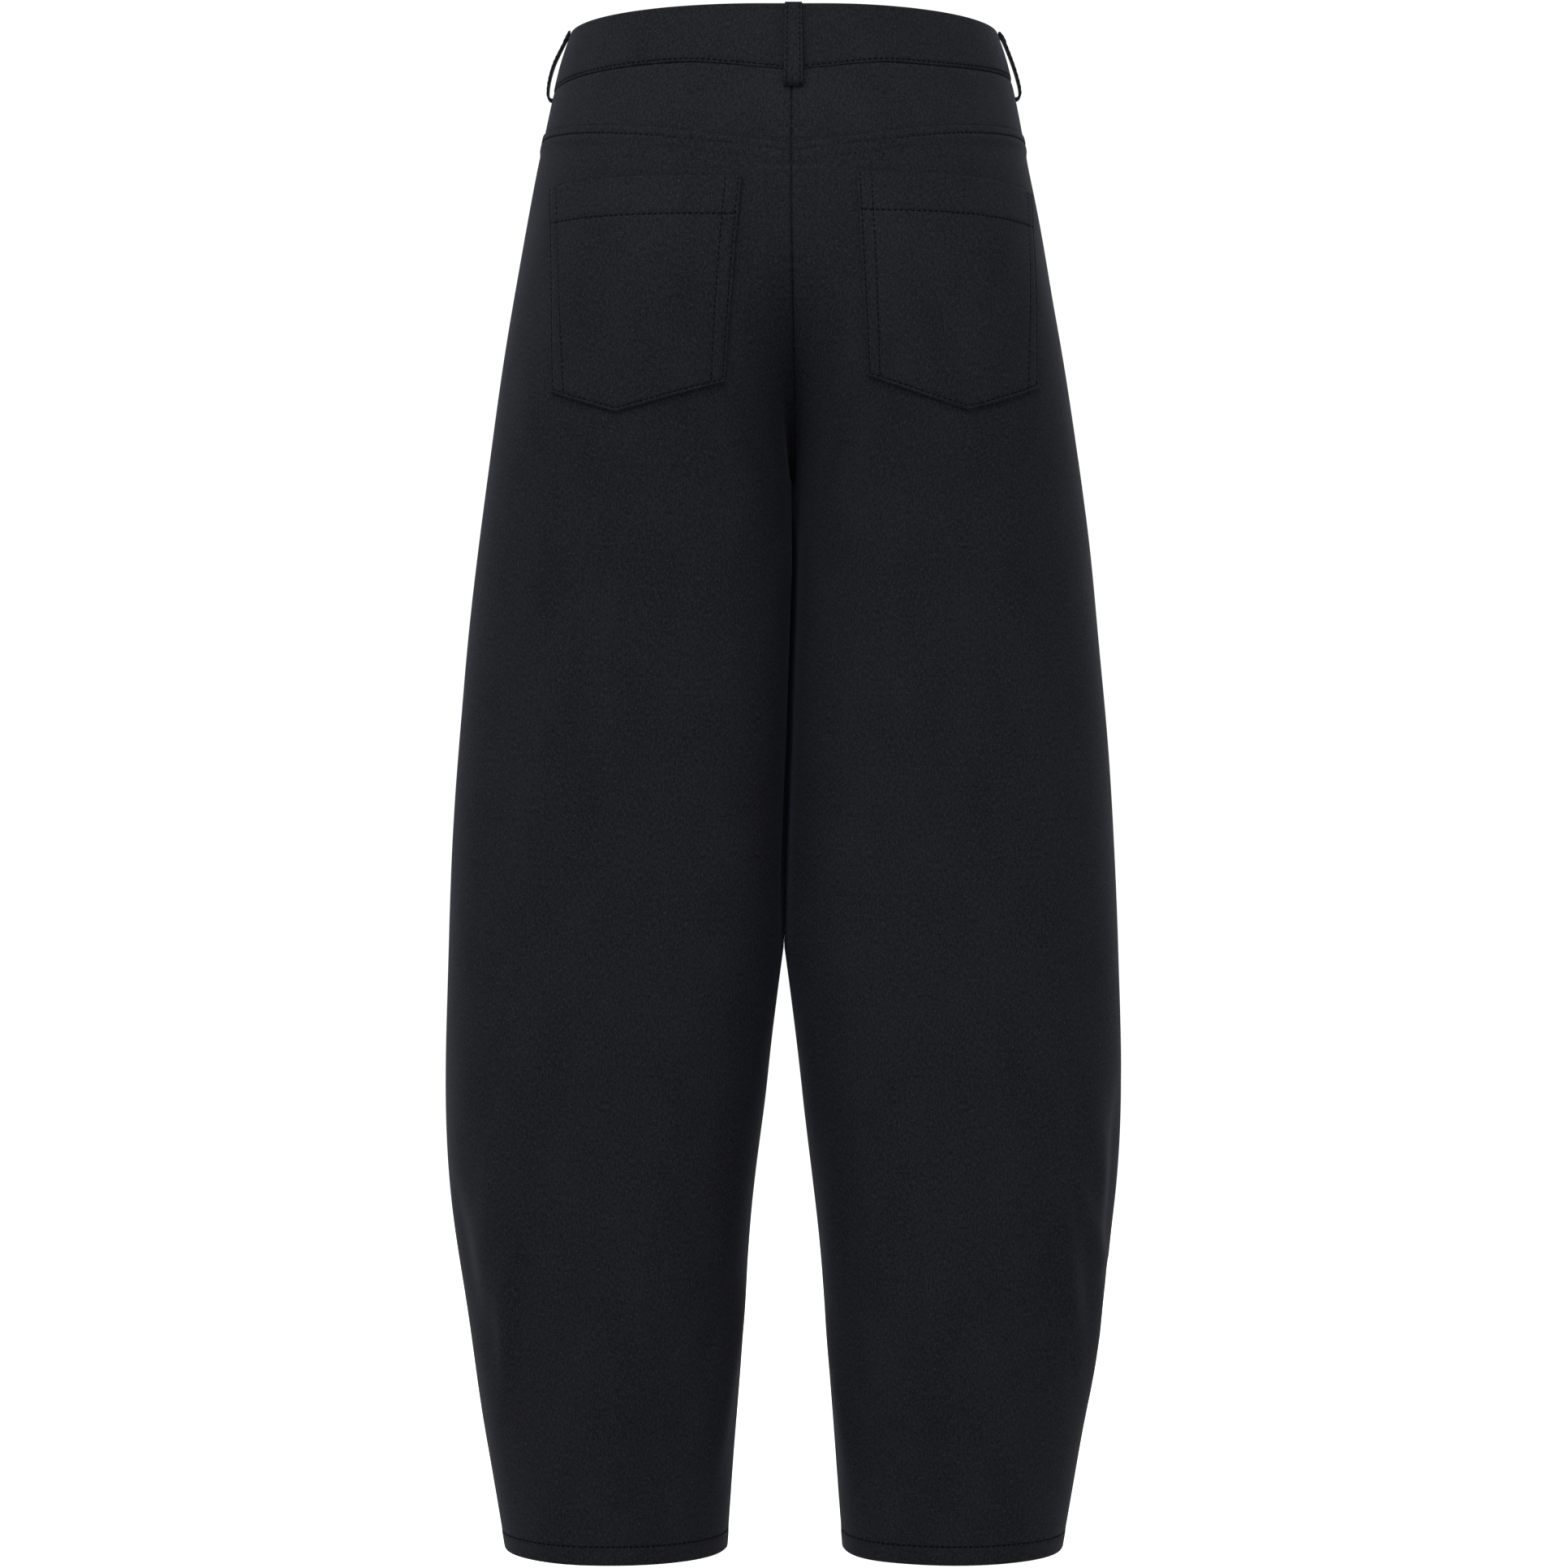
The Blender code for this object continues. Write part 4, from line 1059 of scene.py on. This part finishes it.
def back_pocket(half):
    """A patch on the back leg: the leg's own surface moved out, its edges rounded down to the leg, with a
    thicker hem along the top and the grooves of its stitches."""
    pocket = Pocket(half)
    lines = np.array((0.0, 0.15, 0.4, 0.8, 1.3, 2.0, 2.7, 3.6, 6.0, 8.8, 9.5, 10.2, 12.0))
    before = edge_grid(pocket.tip * pocket.width, lines, np.array((0.0, 1.5)), 16)[0] / pocket.width
    after = edge_grid((1 - pocket.tip) * pocket.width, np.array((1.5,)), lines, 10)[0] / pocket.width
    side = np.concatenate((before, pocket.tip + after))
    top_lines = np.array((0.0, 0.15, 0.4, 0.8, 1.4, 2.4, 4.0))
    foot_lines = np.array((0.0, 0.15, 0.4, 0.8, 1.3, 2.0, 2.7, 3.6, 6.0))
    upper = edge_grid(POCKET_HEM - 1.4, top_lines, np.array((0.0,)), 5)[0]
    hem_lines = POCKET_HEM + np.array((-0.7, 0.0, 0.7, 1.6))
    lower = edge_grid(pocket.height - POCKET_HEM - 3.2, np.array((0.0,)), foot_lines, 26)[0] + POCKET_HEM + 3.2
    down = np.concatenate((upper, hem_lines, lower))
    side = np.repeat(side[None, :], len(down), axis=0)
    height = pocket.top(side) - pocket.foot(side)
    hem = hem_lines[-1]
    below_hem = np.maximum(down - hem, 0)[:, None] * (height - hem) / (pocket.height - hem)
    from_top = np.minimum(down, hem)[:, None] + below_hem
    drop = from_top / height
    from_side = np.minimum(side, 1 - side) * pocket.wide(drop)
    from_foot = (height - from_top) * 0.97
    edge = np.minimum(np.minimum(from_side, from_foot), from_top)
    stitched = np.minimum(from_side, from_foot)
    relief = stitch_relief(stitched, EDGE_STITCH)
    relief = relief + stitch_relief(from_side, SECOND_STITCH) * smoothstep((from_foot - 1.5) / 2)
    relief = relief + stitch_relief(from_top, POCKET_HEM)
    relief = relief + hem_lift(from_top)
    relief = relief + 0.25 * (1 - smoothstep((stitched - SECOND_STITCH) / 2.5)) * smoothstep(stitched / 1.5)
    relief = relief + 0.10 * np.sin(from_top * 2 * math.pi / 8.7 + side * 9) * bell((from_side - 5) / 4)
    outer = pocket.point(side, drop, POCKET_GAP + CLOTH + relief - rounded_edge(edge, CLOTH))
    inner = pocket.point(side, drop, POCKET_GAP)
    flat = np.stack((side * pocket.width, -drop * height), axis=-1) * MM + 3.0 + 0.4 * (half == "left")
    name = f"back_pocket_{half}"
    piece = shell(f"{name}_cloth", outer, inner, flat, finish("leg twill"))
    declare_sheet(piece, name)


def loop_path(loop, along):
    """Heights, and distances out from the form, of a belt loop's middle line and of its outward normal."""
    top = float(band_top(loop["place"])) + loop["rise"]
    down = spline(LOOP_TABLE["along"], LOOP_TABLE["down"], along)
    bowed = spline(LOOP_TABLE["along"], LOOP_TABLE[loop["opens"]], along)
    z = top + down * (loop["foot"] - top)
    sinks = LOOP_SEAT + LOOP_CLOTH / 2 - SEAM_GAP
    out = LOOP_SEAT + LOOP_CLOTH / 2 + loop["bow"] * bowed - sinks * smoothstep((along - 0.9) / 0.1)
    rise, reach = np.gradient(z, along), np.gradient(out, along)
    size = np.hypot(rise, reach)
    return z, out, reach / size, -rise / size


def loop_lean(loop, along):
    """How far round the waist a loop's middle line is moved, so that its top end is sewn further back."""
    back = -np.sign(loop["place"]) * loop["lean"] / (waist_length() / 2)
    return back * (1 - smoothstep(along / 0.45))


def rounded_strip(width, thickness, count):
    """A closed cross-section: the power 5 oval with the strip's width and thickness, evenly turned."""
    turn = np.linspace(0, 2 * math.pi, count, endpoint=False) + math.pi / count
    x = np.sign(np.cos(turn)) * np.abs(np.cos(turn)) ** 0.4 * width / 2
    y = np.sign(np.sin(turn)) * np.abs(np.sin(turn)) ** 0.4 * thickness / 2
    return x, y


def belt_loop(row):
    """A strip carried along the loop's path: a rounded cross-section, thicker where its ends are folded
    under, with a groove inside each long edge."""
    loop = dict(zip(LOOP_COLUMNS, row))
    along = np.concatenate((np.linspace(0, 0.06, 7), np.linspace(0.09, 0.8, 34), np.linspace(0.82, 1.0, 28)))
    z, out, up, away = loop_path(loop, along)
    around = 40
    x, y = rounded_strip(LOOP_WIDTH, LOOP_CLOTH, around)
    ends = np.sqrt(np.clip(1 - np.clip(1 - along / 0.02, 0, 1) ** 2, 0.02, 1))
    folded = 0.4 * (1 - smoothstep((along - 0.14) / 0.04))
    groove = 0.22 * bell((np.abs(x) - (LOOP_WIDTH / 2 - 1.7)) / 0.5) * (y > 0)
    lift = y[None, :] * ends[:, None] + (y[None, :] > 0) * (folded * ends)[:, None] - groove[None, :]
    places = loop["place"] + np.repeat(x[None, :], len(along), axis=0) / (waist_length() / 2)
    places = places + loop_lean(loop, along)[:, None]
    rings = waist(places, z[:, None] + lift * up[:, None], out[:, None] + lift * away[:, None])
    travelled = np.concatenate(([0], np.cumsum(np.hypot(np.diff(z), np.diff(out)))))
    wide = np.repeat(x[None, :], len(along), axis=0)
    flat = np.stack((wide, np.repeat(travelled[:, None], around, axis=1)), axis=-1)
    piece = sweep(f"{loop['name']}_strip", rings, flat * MM + 4.0 + loop["place"], finish("band twill"))
    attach(piece, "root")
    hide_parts(loop["name"])


# Stitches


def capsule():
    """One stitch of unit length along x: five rings of six points, small at both ends, and its quads."""
    along = np.array((-0.5, -0.42, 0.0, 0.42, 0.5))
    size = np.array((0.25, 0.8, 1.0, 0.8, 0.25))
    turn = np.linspace(0, 2 * math.pi, 6, endpoint=False)
    x = np.repeat(along[:, None], 6, axis=1)
    y = size[:, None] * np.cos(turn)[None, :] / 2
    z = size[:, None] * np.sin(turn)[None, :] / 2
    i, j = np.meshgrid(np.arange(4), np.arange(6), indexing="ij")
    a, b = (i * 6 + j).ravel(), (i * 6 + (j + 1) % 6).ravel()
    sides = np.stack((a, a + 6, b + 6, b), axis=1)
    caps = np.array(((0, 1, 2, 3), (0, 3, 4, 5), (27, 26, 25, 24), (29, 28, 27, 24)))
    return np.stack((x, y, z), axis=-1).reshape(-1, 3), np.concatenate((sides, caps))


def stitch_rows(name, rows):
    """Sews rows of stitches. Each row is a line of points on the cloth and the same line moved out by one
    millimetre, which gives the way up. Stitches are laid along it at an even pitch, each turned a little."""
    sizes = bpy.context.scene.trouser_sizes
    length, gap, thick = sizes.stitch_length / MM, sizes.stitch_gap / MM, sizes.stitch_thickness / MM
    template, template_quads = capsule()
    chance = np.random.default_rng(11)
    points, quads, flat, used = [], [], [], 0
    for line, lifted in rows:
        step = np.linalg.norm(np.diff(line, axis=0), axis=1)
        run = np.concatenate(([0], np.cumsum(step)))
        count = max(int(run[-1] // (length + gap)), 1)
        pitch = run[-1] / count
        starts = (np.arange(count) + 0.5) * pitch
        here = np.stack([np.interp(starts, run, line[:, k]) for k in range(3)], axis=1)
        ahead = np.stack([np.interp(starts + length / 2, run, line[:, k]) for k in range(3)], axis=1)
        behind = np.stack([np.interp(starts - length / 2, run, line[:, k]) for k in range(3)], axis=1)
        up = np.stack([np.interp(starts, run, (lifted - line)[:, k]) for k in range(3)], axis=1)
        along = ahead - behind
        along /= np.linalg.norm(along, axis=1, keepdims=True)
        up -= along * np.sum(up * along, axis=1, keepdims=True)
        up /= np.linalg.norm(up, axis=1, keepdims=True)
        side = np.cross(up, along)
        skew = chance.normal(0, 0.05, count)[:, None] + 0.06
        along, side = along * np.cos(skew) + side * np.sin(skew), side * np.cos(skew) - along * np.sin(skew)
        stretch = length * (1 + chance.normal(0, 0.03, count))[:, None, None]
        local = template[None] * np.array((1.0, thick, thick * 0.8))
        placed = (
            here[:, None]
            + along[:, None] * local[..., :1] * stretch
            + side[:, None] * local[..., 1:2]
            + up[:, None] * local[..., 2:]
        )
        points.append(placed.reshape(-1, 3))
        quads.append((template_quads[None] + (np.arange(count) * len(template))[:, None, None] + used).reshape(-1, 4))
        turn = np.tile(np.linspace(0, 1, 6, endpoint=False), 5)
        local_flat = np.stack((template[:, 0] * length, turn * thick * math.pi), axis=1) * MM
        flat.append(np.tile(local_flat, (count, 1)))
        used += count * len(template)
    piece = mesh_object(name, np.concatenate(points), np.concatenate(quads), np.concatenate(flat), finish("sewing thread with painted shade"))
    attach(piece, "root")
    return piece


def on_cloth(half, part, share, z, out):
    """A row of stitches on a leg or yoke."""
    return cloth(half, part, share, z, out), cloth(half, part, share, z, out + 1)


def yoke_stitching():
    rows = []
    for half in HALVES:
        share = np.linspace(0.01, 0.99, 120)
        rows.append(on_cloth(half, "back", share, yoke_foot(share) - YOKE_STITCH, YOKE_LAP - 0.25))
    stitch_rows("yoke_stitching", rows)


def hem_stitching():
    rows = []
    for half in HALVES:
        for part in PARTS:
            share = np.linspace(0.006, 0.994, 120)
            rows.append(on_cloth(half, part, share, HEM + HEM_DEPTH + 0 * share, 0.12))
    stitch_rows("hem_stitching", rows)


def waistband_stitching():
    length = waist_length() / 2
    over, under = 1 + (OVER_END - 2) / length, 1 - OVER_END / length
    place = np.linspace(-over, under, 400)
    z = waist_foot(place) + BAND_STITCH
    out = BAND_PROUD - 0.12 - rounded_edge(BAND_STITCH, BAND_CLOTH)
    rows = [(waist(place, z, out), waist(place, z, out + 1))]
    stitch_rows("waistband_stitching", rows)


def pocket_stitching():
    """One row inside the whole edge but the top, a second along both sides, and one below the hem."""
    rows = []
    even = np.linspace(0, 1, 90)
    lift = POCKET_GAP + CLOTH - 0.15
    for half in HALVES:
        pocket = Pocket(half)
        low = 1 - EDGE_STITCH / pocket.height
        wide = pocket.wide(even * low)

        def line(side, drop):
            out = lift + hem_lift(drop * (pocket.top(side) - pocket.foot(side)))
            rows.append((pocket.point(side, drop, out), pocket.point(side, drop, out + 1)))

        for inset in (EDGE_STITCH, SECOND_STITCH):
            line(inset / wide, even * low)
            line(1 - inset / wide, even * low)
        start = EDGE_STITCH / wide[-1]
        line(start + (pocket.tip - start) * even, low + 0 * even)
        line(pocket.tip + (1 - start - pocket.tip) * even, low + 0 * even)
        inner = start + even * (1 - 2 * start)
        line(inner, POCKET_HEM / (pocket.top(inner) - pocket.foot(inner)))
    stitch_rows("pocket_stitching", rows)


def loop_stitching():
    """Two rows along each loop."""
    rows = []
    reach = waist_length() / 2
    for row in LOOPS:
        loop = dict(zip(LOOP_COLUMNS, row))
        along = np.linspace(0.04, 0.97, 80)
        z, out, up, away = loop_path(loop, along)
        lift = LOOP_CLOTH / 2 - 0.12 + 0.4 * (1 - smoothstep((along - 0.14) / 0.04))
        for sign in (-1, 1):
            place = loop["place"] + sign * (LOOP_WIDTH / 2 - 1.7) / reach + loop_lean(loop, along)
            rows.append((
                waist(place, z + lift * up, out + lift * away),
                waist(place, z + (lift + 1) * up, out + (lift + 1) * away),
            ))
    stitch_rows("loop_stitching", rows)


def fly_stitching():
    """The hook-shaped double row that holds the fly: down beside the opening, then round to the seam."""
    rows = []
    turn_from = FLY_FOOT + 42
    for inset in (FLY_STITCH, FLY_STITCH - 6.0):
        straight = np.linspace(-26.0, turn_from, 60)
        bend = np.linspace(0, math.pi / 2, 40)[1:]
        x = np.concatenate((inset + 0 * straight, 2.0 + (inset - 2.0) * np.cos(bend)))
        z = np.concatenate((straight, turn_from - (turn_from - FLY_FOOT - (FLY_STITCH - inset)) * np.sin(bend)))
        share = x / cloth_length("front", z)
        lap = 0.9 * (1 - smoothstep((x - 14) / 26)) * smoothstep((z - FLY_FOOT) / 12)
        rows.append(on_cloth("left", "front", share, z, lap + 0.12))
    stitch_rows("fly_stitching", rows)


def waist_button():
    """A turned button: a profile of radius and height carried round the axis, with four dished holes sunk
    into it, and the thread that crosses them."""
    reach = waist_length() / 2
    place = -1 + (BUTTON_FROM_END - OVER_END) / reach
    height = float(band_top(1.0) + waist_foot(1.0)) / 2
    seat = waist(np.array([place]), np.array([height]), np.array([BAND_PROUD]))[0]
    lifted = waist(np.array([place]), np.array([height]), np.array([BAND_PROUD + 1.0]))[0]
    axis = lifted - seat
    axis /= np.linalg.norm(axis)
    side = np.cross(axis, (0, 0, 1))
    side /= np.linalg.norm(side)
    up = np.cross(side, axis)
    base = seat + axis * (SEAM_GAP + 0.2)
    radius = BUTTON_ACROSS / 2
    profile_r = np.array((0.0, 4.0, 7.0, 7.7, 8.2, 8.45, 8.5, 8.45, 8.2, 7.7, 7.2, 6.8, 6.4, 6.0, 5.5))
    profile_h = np.array((0.0, 0.0, 0.0, 0.1, 0.45, 0.9, 1.6, 2.4, 2.85, 3.15, 3.2, 3.05, 2.7, 2.4, 2.3))
    face = np.linspace(5.2, 0.0, 26)
    r = np.concatenate((profile_r * radius / 8.5, face))
    h = np.concatenate((profile_h, 2.3 + 0 * face))
    turn = np.linspace(0, 2 * math.pi, 72, endpoint=False)
    x = r[:, None] * np.cos(turn)[None, :]
    y = r[:, None] * np.sin(turn)[None, :]
    hole = np.zeros_like(x)
    for sx in (-1, 1):
        for sy in (-1, 1):
            off = np.hypot(x - sx * BUTTON_HOLE_PITCH / 2, y - sy * BUTTON_HOLE_PITCH / 2)
            hole = np.maximum(hole, 1 - smoothstep((off - BUTTON_HOLE / 2 + 0.25) / 0.4))
    top_face = (np.arange(len(r)) >= len(profile_r))[:, None]
    z = h[:, None] - 1.7 * hole * top_face
    points = base + axis * z[..., None] + side * x[..., None] + up * y[..., None]
    closed = np.concatenate((points, points[:, :1]), axis=1)
    rows, across = closed.shape[:2]
    quads = grid_faces(rows, across)
    uv = np.concatenate((np.stack((x, y), axis=-1), np.stack((x, y), axis=-1)[:, :1]), axis=1) * MM
    piece = mesh_object("waist_button_disc", closed.reshape(-1, 3), quads, uv.reshape(-1, 2), finish("dark horn"))
    weld = piece.modifiers.new("closed seam", "WELD")
    weld.merge_threshold = 0.00001
    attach(piece, "root")
    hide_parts("waist_button")

    rows = []
    for offset in (-0.45, 0.0, 0.45):
        for sx, sy in ((1, 1), (1, -1)):
            along = np.linspace(-1, 1, 9)[:, None] * BUTTON_HOLE_PITCH / 2
            rise = 2.55 + 0.25 * (1 - np.linspace(-1, 1, 9) ** 2)[:, None]
            line = base + axis * rise + side * (along * sx - offset * sy) + up * (along * sy + offset * sx)
            rows.append((line, line + axis))
    sizes = bpy.context.scene.trouser_sizes
    kept = sizes.stitch_length
    sizes.stitch_length = 0.0046
    stitch_rows("button_thread", rows)
    sizes.stitch_length = kept


# Settings


class TrouserSizes(bpy.types.PropertyGroup):
    """Sizes of the sewing."""

    stitch_length: bpy.props.FloatProperty(
        name="Stitch Length", description="Length of one stitch", default=0.0023, unit="LENGTH"
    )
    stitch_gap: bpy.props.FloatProperty(
        name="Stitch Gap", description="Gap between stitches", default=0.0013, unit="LENGTH"
    )
    stitch_thickness: bpy.props.FloatProperty(
        name="Thread Thickness", description="Thickness of the sewing thread with painted shade", default=0.0006, unit="LENGTH"
    )


class TrouserColours(bpy.types.PropertyGroup):
    """Colours of the cloth, thread and button. The thread's colour is darker than the cloth: painted shade for the
    shadowed holes between stitches.
    """

    cloth_colour: bpy.props.FloatVectorProperty(
        name="Cloth", description="Yarn colour", subtype="COLOR", default=(0.0033, 0.0035, 0.0046)
    )
    fleck_colour: bpy.props.FloatVectorProperty(
        name="Flecks", description="Pale fibres in the nap", subtype="COLOR", default=(0.0092, 0.0098, 0.0122)
    )
    sheen_colour: bpy.props.FloatVectorProperty(
        name="Sheen", description="Tint of the nap at grazing angles", subtype="COLOR", default=(0.62, 0.68, 1.0)
    )
    # painted shade: the thread is coloured darker than the cloth so that each row reads as the shadowed holes between
    # stitches
    thread_colour_with_painted_shade: bpy.props.FloatVectorProperty(
        name="Thread", description="Sewing thread", subtype="COLOR", default=(0.0010, 0.0010, 0.0014)
    )
    button_colour: bpy.props.FloatVectorProperty(
        name="Button", description="Horn button", subtype="COLOR", default=(0.010, 0.010, 0.013)
    )
    floor_colour: bpy.props.FloatVectorProperty(
        name="Floor", description="Floor", subtype="COLOR", default=(0.97, 0.97, 0.97)
    )


class TrouserStage(bpy.types.PropertyGroup):
    """Where the camera, the floor and the lights stand."""

    camera_distance: bpy.props.FloatProperty(
        name="Camera Distance", description="From the camera to the side seams", default=2.55, unit="LENGTH"
    )
    camera_height: bpy.props.FloatProperty(
        name="Camera Height", description="Below the middle of the waistband", default=-0.466, unit="LENGTH"
    )
    view_height: bpy.props.FloatProperty(
        name="View Height", description="What the frame covers at the side seams", default=1.0168, unit="LENGTH"
    )
    floor_height: bpy.props.FloatProperty(
        name="Floor Height", description="The floor's height", default=-1.06, unit="LENGTH"
    )
    sky_strength: bpy.props.FloatProperty(
        name="White Surround", description="Strength of the even white surround", default=1.06, min=0.0
    )
    overhead_power: bpy.props.FloatProperty(
        name="Overhead Light", description="Power of the light above the trousers", default=92.0, min=0.0
    )


# Operators


class PieceOperator:
    bl_options = {"REGISTER", "UNDO"}


class TROUSERS_OT_legs(PieceOperator, bpy.types.Operator):
    """Adds the four leg panels"""

    bl_idname = "trousers.legs"
    bl_label = "Leg Panels"

    def execute(self, context):
        for half in HALVES:
            for part in PARTS:
                leg_panel(half, part)
        return {"FINISHED"}


class TROUSERS_OT_yokes(PieceOperator, bpy.types.Operator):
    """Adds the two back yokes"""

    bl_idname = "trousers.yokes"
    bl_label = "Back Yokes"

    def execute(self, context):
        for half in HALVES:
            back_yoke(half)
        return {"FINISHED"}


class TROUSERS_OT_waistband(PieceOperator, bpy.types.Operator):
    """Adds the waistband"""

    bl_idname = "trousers.waistband"
    bl_label = "Waistband"

    def execute(self, context):
        waistband()
        return {"FINISHED"}


class TROUSERS_OT_pockets(PieceOperator, bpy.types.Operator):
    """Adds the two patch pockets"""

    bl_idname = "trousers.pockets"
    bl_label = "Back Pockets"

    def execute(self, context):
        for half in HALVES:
            back_pocket(half)
        return {"FINISHED"}


class TROUSERS_OT_loops(PieceOperator, bpy.types.Operator):
    """Adds the belt loops"""

    bl_idname = "trousers.loops"
    bl_label = "Belt Loops"

    def execute(self, context):
        for row in LOOPS:
            belt_loop(row)
        return {"FINISHED"}


class TROUSERS_OT_button(PieceOperator, bpy.types.Operator):
    """Adds the waist button and its thread"""

    bl_idname = "trousers.button"
    bl_label = "Waist Button"

    def execute(self, context):
        waist_button()
        return {"FINISHED"}


class TROUSERS_OT_stitching(PieceOperator, bpy.types.Operator):
    """Adds the rows of stitches on the yoke, waistband, pockets, hems, belt loops and fly"""

    bl_idname = "trousers.stitching"
    bl_label = "Stitching"

    def execute(self, context):
        yoke_stitching()
        waistband_stitching()
        pocket_stitching()
        hem_stitching()
        loop_stitching()
        fly_stitching()
        return {"FINISHED"}


def soft_light(name, place, aim, size, power):
    """A square area light at place, turned to aim."""
    lamp = bpy.data.lights.new(name, "AREA")
    lamp.shape = "SQUARE"
    lamp.size = size
    lamp.energy = power
    made = bpy.data.objects.new(name, lamp)
    made.location = place
    direction = np.array(aim, float) - np.array(place, float)
    flat = math.hypot(direction[0], direction[1])
    made.rotation_euler = (math.atan2(flat, -direction[2]), 0.0, math.atan2(-direction[0], direction[1]))
    bpy.context.scene.collection.objects.link(made)


class TROUSERS_OT_stage(PieceOperator, bpy.types.Operator):
    """Adds the pale floor, the white surround, the soft lights and the camera"""

    bl_idname = "trousers.stage"
    bl_label = "Stage"

    def execute(self, context):
        scene = context.scene
        stage = scene.trouser_stage
        floor = bpy.data.meshes.new("floor")
        reach = 8.0
        corners = [(-reach, -reach), (reach, -reach), (reach, reach), (-reach, reach)]
        floor.from_pydata([(x, y, stage.floor_height) for x, y in corners], [], [(0, 1, 2, 3)])
        paint = bpy.data.materials.new("pale floor")
        paint.use_nodes = True
        shader = paint.node_tree.nodes["Principled BSDF"]
        shader.inputs["Base Color"].default_value = (*scene.trouser_colours.floor_colour, 1.0)
        shader.inputs["Roughness"].default_value = 0.95
        shader.inputs["Specular IOR Level"].default_value = 0.0
        floor.materials.append(paint)
        ground = bpy.data.objects.new("floor", floor)
        scene.collection.objects.link(ground)

        world = bpy.data.worlds.new("white surround")
        world.use_nodes = True
        sky = world.node_tree.nodes["Background"]
        sky.inputs["Color"].default_value = (1.0, 1.0, 1.0, 1.0)
        sky.inputs["Strength"].default_value = stage.sky_strength
        scene.world = world
        aim = (0.0, 0.0, stage.camera_height)
        soft_light("overhead soft light", (-0.3, -1.4, 1.4), (0.0, -0.1, -0.2), 1.3, stage.overhead_power)
        soft_light("left soft light", (-2.4, -1.2, 0.2), aim, 1.6, 16.0)
        soft_light("right soft light", (2.4, -1.2, 0.2), aim, 1.6, 12.0)
        soft_light("back soft light", (0.3, 2.6, 0.5), aim, 2.0, 26.0)

        lens = bpy.data.cameras.new("camera")
        lens.sensor_width = 36.0
        lens.lens = lens.sensor_width * stage.camera_distance / stage.view_height
        camera = bpy.data.objects.new("camera", lens)
        camera.location = (0.0, -stage.camera_distance, stage.camera_height)
        camera.rotation_euler = (math.pi / 2, 0.0, 0.0)
        scene.collection.objects.link(camera)
        scene.camera = camera
        scene.view_settings.view_transform = "Standard"
        return {"FINISHED"}


OPERATORS = (
    TROUSERS_OT_legs,
    TROUSERS_OT_yokes,
    TROUSERS_OT_waistband,
    TROUSERS_OT_pockets,
    TROUSERS_OT_loops,
    TROUSERS_OT_button,
    TROUSERS_OT_stitching,
    TROUSERS_OT_stage,
)


class TROUSERS_PT_panel(bpy.types.Panel):
    """Lists the trousers' settings and pieces"""

    bl_idname = "TROUSERS_PT_panel"
    bl_label = "Trousers"
    bl_space_type = "VIEW_3D"
    bl_region_type = "UI"
    bl_category = "Trousers"

    def draw(self, context):
        for group in (context.scene.trouser_sizes, context.scene.trouser_colours, context.scene.trouser_stage):
            box = self.layout.box()
            for name in group.__annotations__:
                box.prop(group, name)
        for operator in OPERATORS:
            self.layout.operator(operator.bl_idname)


CLASSES = (TrouserSizes, TrouserColours, TrouserStage, *OPERATORS, TROUSERS_PT_panel)


def register():
    for cls in CLASSES:
        bpy.utils.register_class(cls)
    bpy.types.Scene.trouser_sizes = bpy.props.PointerProperty(type=TrouserSizes)
    bpy.types.Scene.trouser_colours = bpy.props.PointerProperty(type=TrouserColours)
    bpy.types.Scene.trouser_stage = bpy.props.PointerProperty(type=TrouserStage)


def unregister():
    del bpy.types.Scene.trouser_stage
    del bpy.types.Scene.trouser_colours
    del bpy.types.Scene.trouser_sizes
    for cls in reversed(CLASSES):
        bpy.utils.unregister_class(cls)


def main():
    register()
    bpy.ops.trousers.legs()
    bpy.ops.trousers.yokes()
    bpy.ops.trousers.waistband()
    bpy.ops.trousers.pockets()
    bpy.ops.trousers.loops()
    bpy.ops.trousers.button()
    bpy.ops.trousers.stitching()
    bpy.ops.trousers.stage()


if __name__ == "__main__":
    main()
